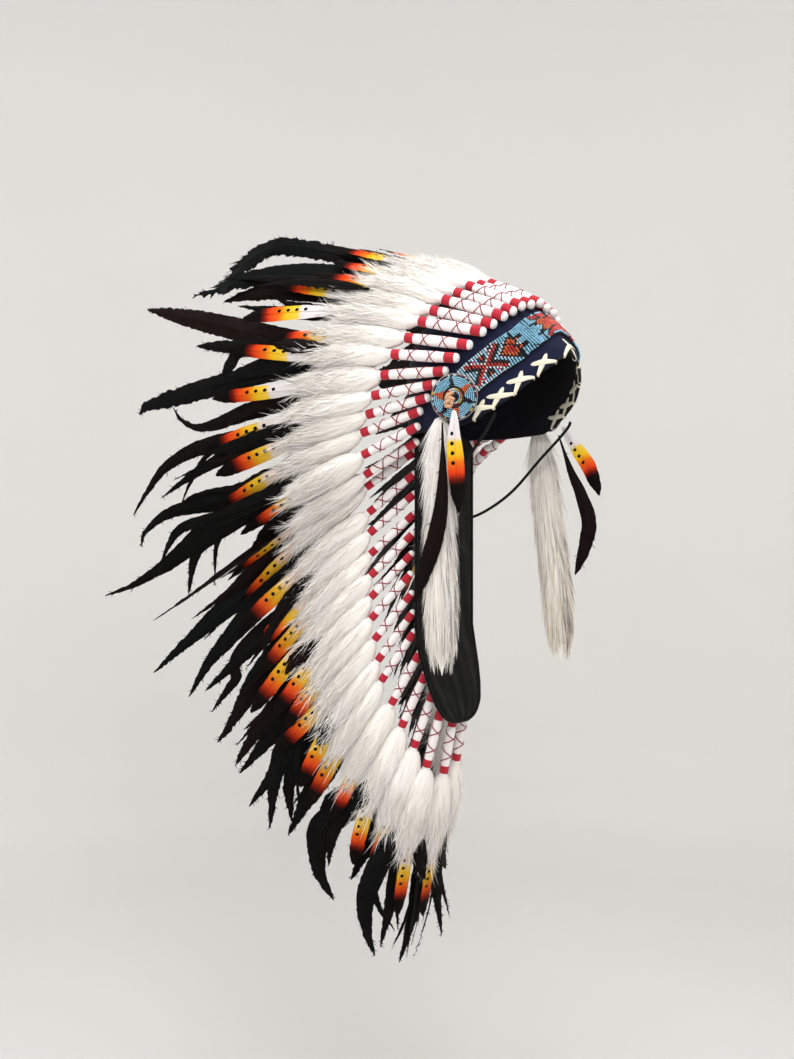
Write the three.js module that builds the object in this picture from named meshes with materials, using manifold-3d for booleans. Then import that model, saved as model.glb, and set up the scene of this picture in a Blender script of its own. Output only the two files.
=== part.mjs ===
// A feathered headdress: a cloth cap with a beaded brow band and two rosettes, a row of felt-wrapped
// feathers round the cap and down both edges of a leather trail, and drops hanging at the temples.
// Millimetres. The wearer faces -Y, the wearer's right is -X, and +Z is up.
// The origin is the middle of the head opening, level with the rosettes.
import * as THREE from "three";
import Module from "manifold-3d";

const wasm = await Module();
wasm.setup();

// Cap outline by height: [z, half width, front, back].
const CAP = [
  [-60, 84, 106, 112], [-35, 87, 106, 117], [0, 89, 106, 120], [25, 88.5, 102, 119], [49, 86.5, 97, 114],
  [67, 81, 84, 108], [78, 76, 73, 102], [86, 63, 64, 92], [97, 52, 54, 80], [104, 42, 38, 64],
  [109, 29, 24, 48], [112.5, 15, 8, 32], [114.5, 2, -10, 14],
];
const CAP_TAPER = 0.1; // the front of the cap is narrower than its back
const CAP_WALL = 2.4;
const CAP_COLUMNS = 32;
// Lower edge of the cap by angle from the front centre: [degrees, z].
const RIM = [
  [0, 46], [16, 33], [29, 21], [41, 7], [54, -11], [63, -21], [74, -33], [84, -40], [115, -44], [180, -46],
];
// Heights of the rows of the cap above its lower edge, as shares of the way to the crown.
const CAP_ROWS = [0, 0.12, 0.26, 0.4, 0.54, 0.67, 0.79, 0.89, 0.96];

// Brow band: [degrees, z of lower edge, z of upper edge].
const BAND = [
  [0, 62, 94], [12, 59.5, 89.5], [31, 46.5, 79], [46, 30, 67], [60, 13, 53.5], [72, -1, 36.5], [79, -11, 25],
];
const BAND_GAP = 1.7;
const BAND_THICKNESS = 2;
const BAND_COLUMNS = 34;
const BAND_END = 79; // degrees from the front centre, under the rosette's edge

// Rosette: a beaded disc turned to face partly forward, with a knot of leather near its middle.
const ROSETTE_CENTRE = [-98.6, -6.7, -9];
const ROSETTE_TURN = 26;
const ROSETTE_RADIUS = 26.5;
const KNOT_OFFSET = 3.5; // towards the back of the head

// The feather row, from the front centre (0) down to the middle of the trail's foot (29).
// [number, root x, y, z, direction x, y, z]
const ROW = [
  [0, 0, -61, 104, 0, 0.91, 0.41], [2, -32.5, -58, 96.5, -0.09, 0.91, 0.4],
  [4, -57.5, -51, 82.5, -0.24, 0.92, 0.32], [6, -78, -36, 64.5, -0.28, 0.935, 0.215],
  [8, -92.5, -9, 36, -0.29, 0.95, 0.11],
  [10, -95.3, 19.5, 9, -0.3, 0.945, -0.13], [12, -91.5, 45, -19.5, -0.28, 0.91, -0.3],
  [13, -88, 52, -36.5, -0.29, 0.86, -0.42], [14, -71, 68, -52.5, -0.33, 0.79, -0.52],
  [15, -48, 89.7, -62, -0.42, 0.69, -0.59], [16, -48, 89.7, -89, -0.4, 0.655, -0.64],
  [18, -48, 89.7, -137, -0.385, 0.63, -0.675], [21, -56, 89.7, -210, -0.335, 0.57, -0.75],
  [24, -50, 89.2, -280, -0.27, 0.49, -0.83], [26, -41, 79, -330, -0.175, 0.38, -0.908],
  [28, -24.5, 69.8, -375.5, -0.07, 0.25, -0.966], [29, 0, 69.4, -386, 0, 0.21, -0.978],
];
const LAST = 29;
// Felt tube: [number, length, radius].
const TUBE = [
  [0, 90, 6.1], [8, 90, 6], [12, 88, 5.4], [15, 83, 4.7], [24, 83, 4.6], [27, 83, 5.2], [29, 83, 5.5],
];
// Plume: [number, whole length from the root, fall of the tip].
const PLUME = [
  [0, 375, 34], [3, 395, 32], [6, 425, 40], [8, 410, 36], [10, 415, 40], [13, 405, 34], [15, 455, 30],
  [17, 395, 20], [22, 355, 14], [25, 325, 8], [27, 330, 4], [29, 280, 0],
];
const DOWN_LENGTH = 104;
const DOWN_HALF_THICKNESS = 14;
const BLADE_HALF_WIDTH = 12.5;
const BLADE_HALF_THICKNESS = 1.3;
const BLADE_TWIST = 21; // degrees, so that neighbours lap like slats without touching
const TIP_LENGTH = 22;
// Tuft of down between the two feathers of a pair: distance past the tube, half length, half thickness.
const TUFT = [44, 11, 7];

// Trail: [z, y, half width]. Its top bulges back over the wearer's nape.
const TRAIL = [
  [-30, 84, 36], [-44, 84, 46], [-56, 84, 57], [-100, 84, 57], [-160, 84, 57], [-220, 84, 57], [-280, 84, 57],
  [-305, 79.5, 57], [-330, 73, 54.5], [-352, 67.5, 50.5], [-372, 62.5, 44], [-384, 60.5, 35],
  [-391, 59.5, 25], [-395, 59, 12],
];
const TRAIL_COLUMNS = 10;
const TRAIL_THICKNESS = 2.5;
const TRAIL_BULGE = 24;
const BULGE_HALF_WIDTH = 46;
const BULGE_FROM = -60;
const BULGE_TO = -165;

const rad = THREE.MathUtils.degToRad;
const v = (x, y, z) => new THREE.Vector3(x, y, z);

// The value of a column of a table, between the rows where the first column meets x.
function table(rows, x, column) {
  let i = 1;
  while (i < rows.length - 1 && rows[i][0] < x) {
    i += 1;
  }
  const [a, b] = [rows[i - 1], rows[i]];
  const t = Math.min(1, Math.max(0, (x - a[0]) / (b[0] - a[0])));
  return a[column] + (b[column] - a[column]) * t;
}

function mesh(name, geometry, colour, roughness = 0.8) {
  const material = new THREE.MeshStandardMaterial({ color: colour, roughness });
  const result = new THREE.Mesh(geometry, material);
  result.name = name;
  return result;
}

// A closed surface from rings of points. Each end is closed by a fan to a point.
function loft(rings, start, end) {
  const points = [...rings.flat(), start, end];
  const n = rings[0].length;
  const faces = [];
  const [a, b] = [points.length - 2, points.length - 1];
  for (let j = 0; j < n; j += 1) {
    const k = (j + 1) % n;
    faces.push(a, k, j);
    for (let i = 0; i < rings.length - 1; i += 1) {
      const [p, q] = [i * n, (i + 1) * n];
      faces.push(p + j, p + k, q + k, p + j, q + k, q + j);
    }
    faces.push(b, (rings.length - 1) * n + j, (rings.length - 1) * n + k);
  }
  return closed(points, faces);
}

// A closed slab from two grids of points with the same rows and columns.
function slab(outer, inner) {
  const rows = outer.length;
  const columns = outer[0].length;
  const points = [...outer.flat(), ...inner.flat()];
  const at = (side, i, j) => side * rows * columns + i * columns + j;
  const faces = [];
  const quad = (p, q, r, s) => faces.push(p, q, r, p, r, s);
  for (let i = 0; i < rows - 1; i += 1) {
    for (let j = 0; j < columns - 1; j += 1) {
      quad(at(0, i, j), at(0, i, j + 1), at(0, i + 1, j + 1), at(0, i + 1, j));
      quad(at(1, i, j), at(1, i + 1, j), at(1, i + 1, j + 1), at(1, i, j + 1));
    }
    quad(at(0, i, 0), at(0, i + 1, 0), at(1, i + 1, 0), at(1, i, 0));
    quad(at(0, i, columns - 1), at(1, i, columns - 1), at(1, i + 1, columns - 1), at(0, i + 1, columns - 1));
  }
  for (let j = 0; j < columns - 1; j += 1) {
    quad(at(0, 0, j), at(1, 0, j), at(1, 0, j + 1), at(0, 0, j + 1));
    quad(at(0, rows - 1, j), at(0, rows - 1, j + 1), at(1, rows - 1, j + 1), at(1, rows - 1, j));
  }
  return closed(points, faces);
}

function closed(points, faces) {
  const position = points.flatMap((p) => [p.x, p.y, p.z]);
  const geometry = new THREE.BufferGeometry();
  geometry.setAttribute("position", new THREE.Float32BufferAttribute(position, 3));
  geometry.setIndex(faces);
  return outward(geometry);
}

// Turns every face round if the surface faces inwards.
function outward(geometry) {
  const p = geometry.attributes.position;
  const index = geometry.index.array;
  let volume = 0;
  const [a, b, c] = [v(), v(), v()];
  for (let i = 0; i < index.length; i += 3) {
    a.fromBufferAttribute(p, index[i]);
    b.fromBufferAttribute(p, index[i + 1]);
    c.fromBufferAttribute(p, index[i + 2]);
    volume += a.dot(b.cross(c));
  }
  if (volume < 0) {
    for (let i = 0; i < index.length; i += 3) {
      [index[i + 1], index[i + 2]] = [index[i + 2], index[i + 1]];
    }
  }
  geometry.computeVertexNormals();
  return geometry;
}

function solid(geometry) {
  return new wasm.Manifold(new wasm.Mesh({
    numProp: 3,
    vertProperties: Float32Array.from(geometry.attributes.position.array),
    triVerts: Uint32Array.from(geometry.index.array),
  }));
}

function fused(geometries) {
  const body = geometries.map(solid).reduce((a, b) => a.add(b));
  const out = body.getMesh();
  const geometry = new THREE.BufferGeometry();
  geometry.setAttribute("position", new THREE.Float32BufferAttribute(out.vertProperties, 3));
  geometry.setIndex([...out.triVerts]);
  geometry.computeVertexNormals();
  return geometry;
}

// A point of the cap's outer surface, at an angle from the front centre and a height.
function capPoint(angle, z) {
  const [half, front, back] = [1, 2, 3].map((column) => table(CAP, z, column));
  const c = Math.cos(angle);
  return v(-half * Math.sin(angle) * (1 - CAP_TAPER * c), (back - front) / 2 - ((back + front) / 2) * c, z);
}

function capNormal(angle, z) {
  const along = capPoint(angle + 0.01, z).sub(capPoint(angle - 0.01, z));
  const up = capPoint(angle, z + 0.6).sub(capPoint(angle, z - 0.6));
  return along.cross(up).negate().normalize();
}

function capOffset(angle, z, distance) {
  return capPoint(angle, z).addScaledVector(capNormal(angle, z), distance);
}

function rimHeight(angle) {
  const degrees = Math.abs(THREE.MathUtils.radToDeg(angle));
  return table(RIM, degrees > 180 ? 360 - degrees : degrees, 1);
}

function cap() {
  const crown = CAP[CAP.length - 1][0];
  const ring = (share, inset) => Array.from({ length: CAP_COLUMNS }, (_, j) => {
    const angle = (j / CAP_COLUMNS) * 2 * Math.PI;
    const z = rimHeight(angle) + (crown - 2 - rimHeight(angle)) * share;
    return capOffset(angle, z, -inset);
  });
  const rings = [
    ...CAP_ROWS.map((share) => ring(share, 0)).reverse(),
    ...CAP_ROWS.map((share) => ring(share, CAP_WALL)),
  ];
  return loft(rings, v(0, 12, crown), v(0, 12, crown - CAP_WALL - 1));
}

function browBand() {
  const grid = (distance) => [1, 0.5, 0].map((share) => Array.from({ length: BAND_COLUMNS + 1 }, (_, j) => {
    const degrees = BAND_END * (-1 + (2 * j) / BAND_COLUMNS);
    const [low, high] = [1, 2].map((column) => table(BAND, Math.abs(degrees), column));
    return capOffset(rad(degrees), low + (high - low) * share, distance);
  }));
  return slab(grid(BAND_GAP + BAND_THICKNESS), grid(BAND_GAP));
}

function rosette() {
  const r = ROSETTE_RADIUS;
  const disc = turned([[0, 0], [r, 0], [r, 1.2], [r - 1.4, 3.4], [9, 4], [7, 3], [0, 3]], 24);
  const knot = turned([[0, 2], [6.5, 2], [7, 5], [4.5, 8], [0, 8.6]], 10);
  knot.translate(KNOT_OFFSET, 0, -1);
  const body = fused([disc, knot]);
  body.rotateZ(Math.PI / 2 + rad(ROSETTE_TURN));
  body.translate(...ROSETTE_CENTRE);
  return body;
}

// A solid turned about Y, from [radius, height] points that start and end on the axis.
function turned(profile, segments) {
  const rings = profile.slice(1, -1).map(([r, height]) => Array.from({ length: segments }, (_, j) => {
    const angle = (j / segments) * 2 * Math.PI;
    return v(r * Math.cos(angle), height, r * Math.sin(angle));
  }));
  return loft(rings, v(0, profile[0][1], 0), v(0, profile[profile.length - 1][1], 0));
}

function mirror(geometry) {
  const copy = geometry.clone();
  copy.scale(-1, 1, 1);
  copy.setIndex([...copy.index.array]);
  return outward(copy);
}

// The root, direction and curve of one feather of the row.
function feather(number) {
  const column = (i) => table(ROW, number, i);
  const root = v(column(1), column(2), column(3));
  const along = v(column(4), column(5), column(6)).normalize();
  const tube = table(TUBE, number, 1);
  const radius = table(TUBE, number, 2);
  const length = table(PLUME, number, 1) + (number % 2 ? -9 : 9);
  const fall = table(PLUME, number, 2);
  const at = (s) => root.clone().addScaledVector(along, s).add(v(0, 0, -fall * (s / length) ** 2));
  return { number, root, along, tube, radius, length, at };
}

function neighbourGap(f, s) {
  const near = [f.number - 1, f.number + 1].filter((n) => n >= 0 && n <= LAST).map((n) => {
    const apart = feather(n).at(s).sub(f.at(s));
    return apart.addScaledVector(f.along, -apart.dot(f.along)).length();
  });
  return Math.min(...near);
}

// Directions across a feather: along the row, and out of the row.
function across(f) {
  const before = feather(Math.max(0, f.number - 1)).root;
  const after = feather(Math.min(LAST, f.number + 1)).root;
  const u = f.number === 0 || f.number === LAST ? v(-1, 0, 0) : after.sub(before);
  u.addScaledVector(f.along, -u.dot(f.along)).normalize();
  return [u, v().crossVectors(f.along, u).normalize()];
}

function featherSolid(f) {
  const [u, n] = across(f);
  const twist = rad(BLADE_TWIST);
  const t = f.tube;
  const down = (s) => Math.min(15, neighbourGap(f, s) * 0.47 - 0.3);
  const plume = f.length - t - DOWN_LENGTH;
  // Distance along the feather, half width, half thickness, turn.
  const stations = [
    [1.2, f.radius * 0.55, f.radius * 0.55, 0],
    [5, f.radius, f.radius, 0],
    [t - 1, f.radius, f.radius, 0],
    [t + 1, f.radius * 0.9, f.radius * 1.15, 0],
    [t + 16, down(t + 16) * 0.94, DOWN_HALF_THICKNESS * 0.72, 0],
    [t + 48, down(t + 48), DOWN_HALF_THICKNESS, 0],
    [t + 84, down(t + 84) * 0.9, DOWN_HALF_THICKNESS * 0.7, 0.4],
    [t + DOWN_LENGTH, BLADE_HALF_WIDTH * 0.9, BLADE_HALF_THICKNESS * 1.5, 1],
    [t + DOWN_LENGTH + plume * 0.45, BLADE_HALF_WIDTH, BLADE_HALF_THICKNESS, 1],
    [f.length - TIP_LENGTH, BLADE_HALF_WIDTH * 0.8, BLADE_HALF_THICKNESS, 1],
  ];
  const rings = stations.map(([s, wide, thick, turn]) => {
    const a = u.clone().applyAxisAngle(f.along, twist * turn);
    const b = n.clone().applyAxisAngle(f.along, twist * turn);
    return Array.from({ length: 6 }, (_, j) => {
      const angle = (j / 6) * 2 * Math.PI;
      return f.at(s).addScaledVector(a, wide * Math.cos(angle)).addScaledVector(b, thick * Math.sin(angle));
    });
  });
  return loft(rings, f.at(0), f.at(f.length));
}

// A tuft of down that joins two neighbouring feathers.
function tuft(f, g) {
  const [past, long, thick] = TUFT;
  const [from, to] = [f.at(f.tube + past), g.at(f.tube + past)];
  const side = f.along;
  const out = v().crossVectors(side, to.clone().sub(from)).normalize();
  const end = (p) => Array.from({ length: 6 }, (_, j) => {
    const angle = (j / 6) * 2 * Math.PI;
    return p.clone()
      .addScaledVector(side, long * Math.cos(angle))
      .addScaledVector(out, thick * Math.sin(angle));
  });
  return loft([end(from), end(to)], from, to);
}

function pair(number) {
  const [f, g] = [feather(number), feather(number + 1)];
  return fused([featherSolid(f), featherSolid(g), tuft(f, g)]);
}

function trail() {
  const grid = (offset) => TRAIL.map(([z, y, half]) => Array.from({ length: TRAIL_COLUMNS + 1 }, (_, j) => {
    const x = half * (-1 + (2 * j) / TRAIL_COLUMNS);
    const fade = Math.min(1, Math.max(0, (z - BULGE_TO) / (BULGE_FROM - BULGE_TO)));
    const bulge = TRAIL_BULGE * fade * fade * Math.max(0, 1 - (x / BULGE_HALF_WIDTH) ** 2) ** 2;
    return v(x, y + bulge + offset, z);
  }));
  return slab(grid(TRAIL_THICKNESS / 2), grid(-TRAIL_THICKNESS / 2));
}

// A hanging drop: [x, y, z, half width, half thickness] from the top down, flat side facing the turn.
function drop(stations, turn, sides) {
  const wide = v(Math.sin(rad(turn)), -Math.cos(rad(turn)), 0);
  const thick = v(Math.cos(rad(turn)), Math.sin(rad(turn)), 0);
  const rings = stations.slice(1, -1).map(([x, y, z, a, b]) => Array.from({ length: sides }, (_, j) => {
    const angle = (j / sides) * 2 * Math.PI;
    return v(x, y, z).addScaledVector(wide, a * Math.cos(angle)).addScaledVector(thick, b * Math.sin(angle));
  }));
  const [first, last] = [stations[0], stations[stations.length - 1]];
  return loft(rings, v(...first.slice(0, 3)), v(...last.slice(0, 3)));
}

// The drops of each side hang in their own way, so each has its own stations.
const FUR_DROP_RIGHT = [
  [-101, 12, -30, 0, 0], [-101, 12, -34, 8, 4], [-102, 12, -60, 16, 7], [-103, 11, -130, 20, 8.5],
  [-103, 10, -210, 21, 8.5], [-103, 9, -275, 18, 7], [-103, 8, -308, 9, 4], [-103, 8, -326, 0, 0],
];
const BLACK_DROP_RIGHT = [
  [-115, -2, -38, 0, 0], [-115, -2, -44, 3, 1.2], [-118, -5, -82, 7, 1.4], [-120, -5, -124, 9, 1.5],
  [-121, 1, -158, 8.5, 1.4], [-122, 11, -190, 7.5, 1.3], [-122, 24, -222, 5, 1.2], [-121, 36, -242, 0, 0],
];
const PAINTED_DROP_RIGHT = [
  [-108, -13, -24, 0, 0], [-110, -15, -33, 6, 1.2], [-113, -17, -52, 10.5, 1.3], [-114, -20, -80, 10.5, 1.3],
  [-114, -22, -112, 8, 1.3], [-114, -23.5, -130, 4.5, 1.2], [-114, -24, -140, 0, 0],
];

const FUR_DROP_LEFT = [
  [101, 12, -30, 0, 0], [101, 12, -34, 8, 4], [102, 8, -60, 16, 7], [104, 1, -130, 20, 8.5],
  [108, -8, -210, 21, 8.5], [111, -12, -275, 18, 7], [112, -14, -308, 9, 4], [112, -15, -326, 0, 0],
];
const BLACK_DROP_LEFT = [
  [110, -12, -40, 0, 0], [111, -14, -46, 3, 1.2], [116, -26, -84, 7, 1.4], [121, -37, -112, 8.5, 1.5],
  [125, -46, -144, 9, 1.4], [124, -44, -174, 8, 1.3], [121, -36, -202, 5, 1.2], [119, -31, -216, 0, 0],
];
const PAINTED_DROP_LEFT = [
  [111, -18, -29, 0, 0], [113, -22, -38, 6, 1.2], [119, -34, -58, 9.5, 1.3], [125, -44, -76, 10, 1.3],
  [129, -51, -94, 8, 1.3], [131, -56, -108, 4.5, 1.2], [132, -58, -116, 0, 0],
];

// The chin cord hangs in one loop, from one lower edge of the cap to the other.
const CORD_RADIUS = 1.8;
const CORD_STEPS = 30;
const CORD = [
  [-78.5, -49.5, -27.5], [-79, -46, -34], [-76, -32, -50], [-72, -10, -72], [-62, 26, -112], [-36, 52, -138],
  [0, 62, -147],
];

function cord() {
  const half = CORD.map((p) => v(...p));
  const other = half.slice(0, -1).reverse().map((p) => v(-p.x, p.y, p.z));
  const curve = new THREE.CatmullRomCurve3([...half, ...other]);
  const frames = curve.computeFrenetFrames(CORD_STEPS, false);
  const rings = frames.normals.map((normal, i) => Array.from({ length: 6 }, (_, j) => {
    const angle = (j / 6) * 2 * Math.PI;
    return curve.getPointAt(i / CORD_STEPS)
      .addScaledVector(normal, CORD_RADIUS * Math.cos(angle))
      .addScaledVector(frames.binormals[i], CORD_RADIUS * Math.sin(angle));
  }));
  return loft(rings, curve.getPointAt(0), curve.getPointAt(1));
}

const NAVY = 0x141a3c;
const BLACK = 0x121212;
const WHITE = 0xf1eeea;
const BEAD_BLUE = 0x6cc4e8;
const YELLOW = 0xe8b020;
const headdress = new THREE.Group();

headdress.add(mesh("cap", cap(), NAVY));
headdress.add(mesh("brow_band", browBand(), BEAD_BLUE, 0.35));
headdress.add(mesh("trail", trail(), BLACK, 0.45));
headdress.add(mesh("chin_cord", cord(), BLACK));
headdress.add(mesh("feather_front_centre", featherSolid(feather(0)), WHITE));
headdress.add(mesh("feather_tail_centre", featherSolid(feather(LAST)), WHITE));
headdress.add(mesh("fur_drop_right", drop(FUR_DROP_RIGHT, 30, 10), WHITE));
headdress.add(mesh("fur_drop_left", drop(FUR_DROP_LEFT, 30, 10), WHITE));
headdress.add(mesh("black_drop_feather_right", drop(BLACK_DROP_RIGHT, 35, 6), BLACK));
headdress.add(mesh("black_drop_feather_left", drop(BLACK_DROP_LEFT, 35, 6), BLACK));
headdress.add(mesh("painted_drop_feather_right", drop(PAINTED_DROP_RIGHT, 35, 6), YELLOW));
headdress.add(mesh("painted_drop_feather_left", drop(PAINTED_DROP_LEFT, 35, 6), YELLOW));
for (const side of ["right", "left"]) {
  const place = (body) => (side === "left" ? mirror(body) : body);
  headdress.add(mesh(`rosette_${side}`, place(rosette()), BEAD_BLUE, 0.35));
  for (let number = 1; number < LAST; number += 2) {
    const name = `feather_pair_${String((number + 1) / 2).padStart(2, "0")}_${side}`;
    headdress.add(mesh(name, place(pair(number)), WHITE));
  }
}

export default headdress;
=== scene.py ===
"""The looks of a feathered headdress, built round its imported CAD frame.

The wearer faces -Y and +Z is up. Lengths are in millimetres until a mesh is made, and then in metres.
"""

import math

import bmesh
import bpy
import numpy as np
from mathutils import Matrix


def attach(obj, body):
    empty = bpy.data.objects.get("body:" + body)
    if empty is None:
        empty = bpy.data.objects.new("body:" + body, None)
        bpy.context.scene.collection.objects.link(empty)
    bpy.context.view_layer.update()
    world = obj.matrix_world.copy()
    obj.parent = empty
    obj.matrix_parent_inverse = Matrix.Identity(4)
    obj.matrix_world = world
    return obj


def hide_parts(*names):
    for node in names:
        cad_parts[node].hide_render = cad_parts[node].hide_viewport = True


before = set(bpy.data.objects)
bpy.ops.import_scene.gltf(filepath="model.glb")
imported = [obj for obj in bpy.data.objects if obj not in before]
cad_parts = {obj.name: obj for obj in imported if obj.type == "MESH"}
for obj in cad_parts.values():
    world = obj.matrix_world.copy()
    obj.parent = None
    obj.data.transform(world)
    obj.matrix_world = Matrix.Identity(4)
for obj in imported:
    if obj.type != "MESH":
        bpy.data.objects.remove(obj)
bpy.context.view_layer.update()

MM = 0.001
UP = np.array([0.0, 0.0, 1.0])
SIDES = ("right", "left")
rng = np.random.default_rng(7)


TURN = 6.28  # a full turn, where a pattern's pitch is divided into it

# ---------------------------------------------------------------- camera

def make_camera():
    data = bpy.data.cameras.new("camera")
    data.lens = 42.5
    data.sensor_width = 36
    camera = bpy.data.objects.new("camera", data)
    camera.location = (-1.2285, -0.8695, -0.159)
    camera.rotation_euler = (math.radians(90), 0, math.radians(-50))
    bpy.context.scene.collection.objects.link(camera)
    bpy.context.scene.camera = camera


make_camera()


# ---------------------------------------------------------------- shapes shared with the CAD source

# Cap outline by height: [z, half width, front, back].
CAP = np.array([
    [-60, 84, 106, 112], [-35, 87, 106, 117], [0, 89, 106, 120], [25, 88.5, 102, 119], [49, 86.5, 97, 114],
    [67, 81, 84, 108], [78, 76, 73, 102], [86, 63, 64, 92], [97, 52, 54, 80], [104, 42, 38, 64],
    [109, 29, 24, 48], [112.5, 15, 8, 32], [114.5, 2, -10, 14],
])
CAP_TAPER = 0.1
CAP_WALL = 2.4
CROWN = 114.5
# Lower edge of the cap by angle from the front centre: [degrees, z].
RIM = np.array([
    [0, 46], [16, 33], [29, 21], [41, 7], [54, -11], [63, -21], [74, -33], [84, -40], [115, -44],
    [180, -46],
])
# Brow band: [degrees, z of lower edge, z of upper edge].
BAND = np.array([
    [0, 62, 94], [12, 59.5, 89.5], [31, 46.5, 79], [46, 30, 67], [60, 13, 53.5], [72, -1, 36.5],
    [79, -11, 25],
])
BAND_FACE = 3.7
ROSETTE_CENTRE = np.array([-98.6, -6.7, -9])
ROSETTE_TURN = 26
ROSETTE_RADIUS = 26.5

# The feather row, from the front centre (0) down to the middle of the trail's foot (29).
# [number, root x, y, z, direction x, y, z]
ROW = np.array([
    [0, 0, -61, 104, 0, 0.91, 0.41], [2, -32.5, -58, 96.5, -0.09, 0.91, 0.4],
    [4, -57.5, -51, 82.5, -0.24, 0.92, 0.32], [6, -78, -36, 64.5, -0.28, 0.935, 0.215],
    [8, -92.5, -9, 36, -0.29, 0.95, 0.11],
    [10, -95.3, 19.5, 9, -0.3, 0.945, -0.13], [12, -91.5, 45, -19.5, -0.28, 0.91, -0.3],
    [13, -88, 52, -36.5, -0.29, 0.86, -0.42], [14, -71, 68, -52.5, -0.33, 0.79, -0.52],
    [15, -48, 89.7, -62, -0.42, 0.69, -0.59], [16, -48, 89.7, -89, -0.4, 0.655, -0.64],
    [18, -48, 89.7, -137, -0.385, 0.63, -0.675], [21, -56, 89.7, -210, -0.335, 0.57, -0.75],
    [24, -50, 89.2, -280, -0.27, 0.49, -0.83], [26, -41, 79, -330, -0.175, 0.38, -0.908],
    [28, -24.5, 69.8, -375.5, -0.07, 0.25, -0.966], [29, 0, 69.4, -386, 0, 0.21, -0.978],
])
LAST = 29
# Felt tube: [number, length, radius].
TUBE = np.array([
    [0, 90, 6.1], [8, 90, 6], [12, 88, 5.4], [15, 83, 4.7], [24, 83, 4.6], [27, 83, 5.2], [29, 83, 5.5],
])
# Plume: [number, whole length from the root, fall of the tip].
PLUME = np.array([
    [0, 375, 34], [3, 395, 32], [6, 425, 40], [8, 410, 36], [10, 415, 40], [13, 405, 34], [15, 455, 30],
    [17, 395, 20], [22, 355, 14], [25, 325, 8], [27, 330, 4], [29, 280, 0],
])
DOWN_LENGTH = 104

# Trail: [z, y, half width].
TRAIL = np.array([
    [-30, 84, 36], [-44, 84, 46], [-56, 84, 57], [-100, 84, 57], [-160, 84, 57], [-220, 84, 57],
    [-280, 84, 57], [-305, 79.5, 57], [-330, 73, 54.5], [-352, 67.5, 50.5], [-372, 62.5, 44],
    [-384, 60.5, 35], [-391, 59.5, 25], [-395, 59, 12],
])
TRAIL_THICKNESS = 2.5
TRAIL_BULGE = 24
BULGE_HALF_WIDTH = 46
BULGE_FROM = -60
BULGE_TO = -165

# Drops: [x, y, z, half width, half thickness] from the top down.
FUR_DROP = {
    "right": [
        [-101, 12, -30, 1, 1], [-101, 12, -34, 8, 4], [-102, 12, -60, 16, 7], [-103, 11, -130, 20, 8.5],
        [-103, 10, -210, 21, 8.5], [-103, 9, -275, 18, 7], [-103, 8, -308, 9, 4], [-103, 8, -326, 1, 1],
    ],
    "left": [
        [101, 12, -30, 1, 1], [101, 12, -34, 8, 4], [102, 8, -60, 16, 7], [104, 1, -130, 20, 8.5],
        [108, -8, -210, 21, 8.5], [111, -12, -275, 18, 7], [112, -14, -308, 9, 4], [112, -15, -326, 1, 1],
    ],
}
# Black drop feather: [x, y, z, half width].
BLACK_DROP = {
    "right": [
        [-115, -2, -38, 1], [-115, -2, -44, 3], [-118, -5, -82, 7], [-120, -5, -124, 9],
        [-121, 1, -158, 8.5], [-122, 11, -190, 7.5], [-122, 24, -222, 5], [-121, 36, -242, 0.6],
    ],
    "left": [
        [110, -12, -40, 1], [111, -14, -46, 3], [116, -26, -84, 7], [121, -37, -112, 8.5],
        [125, -46, -144, 9], [124, -44, -174, 8], [121, -36, -202, 5], [119, -31, -216, 0.6],
    ],
}
PAINTED_DROP = {
    "right": [
        [-108, -13, -24, 1], [-110, -15, -33, 6], [-113, -17, -52, 10.5], [-114, -20, -80, 10.5],
        [-114, -22, -112, 8], [-114, -23.5, -130, 4.5], [-114, -24, -140, 0.6],
    ],
    "left": [
        [111, -18, -29, 1], [113, -22, -38, 6], [119, -34, -58, 9.5], [125, -44, -76, 10],
        [129, -51, -94, 8], [131, -56, -108, 4.5], [132, -58, -116, 0.6],
    ],
}
DROP_TURN = 35
DROP_HALF = 9.5
# Half width of a black drop's vane by share of its length.
BLACK_DROP_SHAPE = np.array([
    [0, 0.1], [0.12, 0.2], [0.3, 0.62], [0.5, 0.98], [0.65, 1.0], [0.8, 0.74], [0.92, 0.4], [1.0, 0.04],
])

CORD_RADIUS = 1.8
CORD_SIDES = 12
# Half of the chin cord, from the cap's lower edge to the lowest point behind the chin.
CORD = np.array([
    [-78.5, -49.5, -27.5], [-79, -46, -34], [-76, -32, -50], [-72, -10, -72], [-62, 26, -112],
    [-36, 52, -138], [0, 62, -147],
])


# ---------------------------------------------------------------- numbers and lines

def look(rows, x):
    """The columns after the first, each read off at x between the rows."""
    return np.array([np.interp(x, rows[:, 0], rows[:, k]) for k in range(1, rows.shape[1])])


def read(x, places, rows):
    """Each column of rows, which stand at places, read off at x."""
    return np.stack([np.interp(x, places, rows[:, k]) for k in range(rows.shape[1])], axis=-1)


def unit(vectors):
    vectors = np.asarray(vectors, float)
    return vectors / np.maximum(np.linalg.norm(vectors, axis=-1, keepdims=True), 1e-9)


def smooth_line(points, count):
    """count points, evenly spread along a smooth curve through the given ones."""
    points = np.asarray(points, float)
    ends = [2 * points[:1] - points[1:2], points, 2 * points[-1:] - points[-2:-1]]
    p = np.concatenate(ends)
    t = np.linspace(0, 1, 17)[:-1, None]
    pieces = []
    for a, b, c, d in zip(p, p[1:], p[2:], p[3:]):
        pieces.append(0.5 * (
            2 * b + (c - a) * t + (2 * a - 5 * b + 4 * c - d) * t ** 2 + (3 * b - a - 3 * c + d) * t ** 3
        ))
    fine = np.concatenate(pieces + [points[-1:]])
    along = distances(fine)
    return read(np.linspace(0, along[-1], count), along, fine)


def spread(low, high, size):
    return rng.uniform(low, high, size)


def pick(low, high):
    return rng.uniform(low, high, 1)[0]


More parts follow.
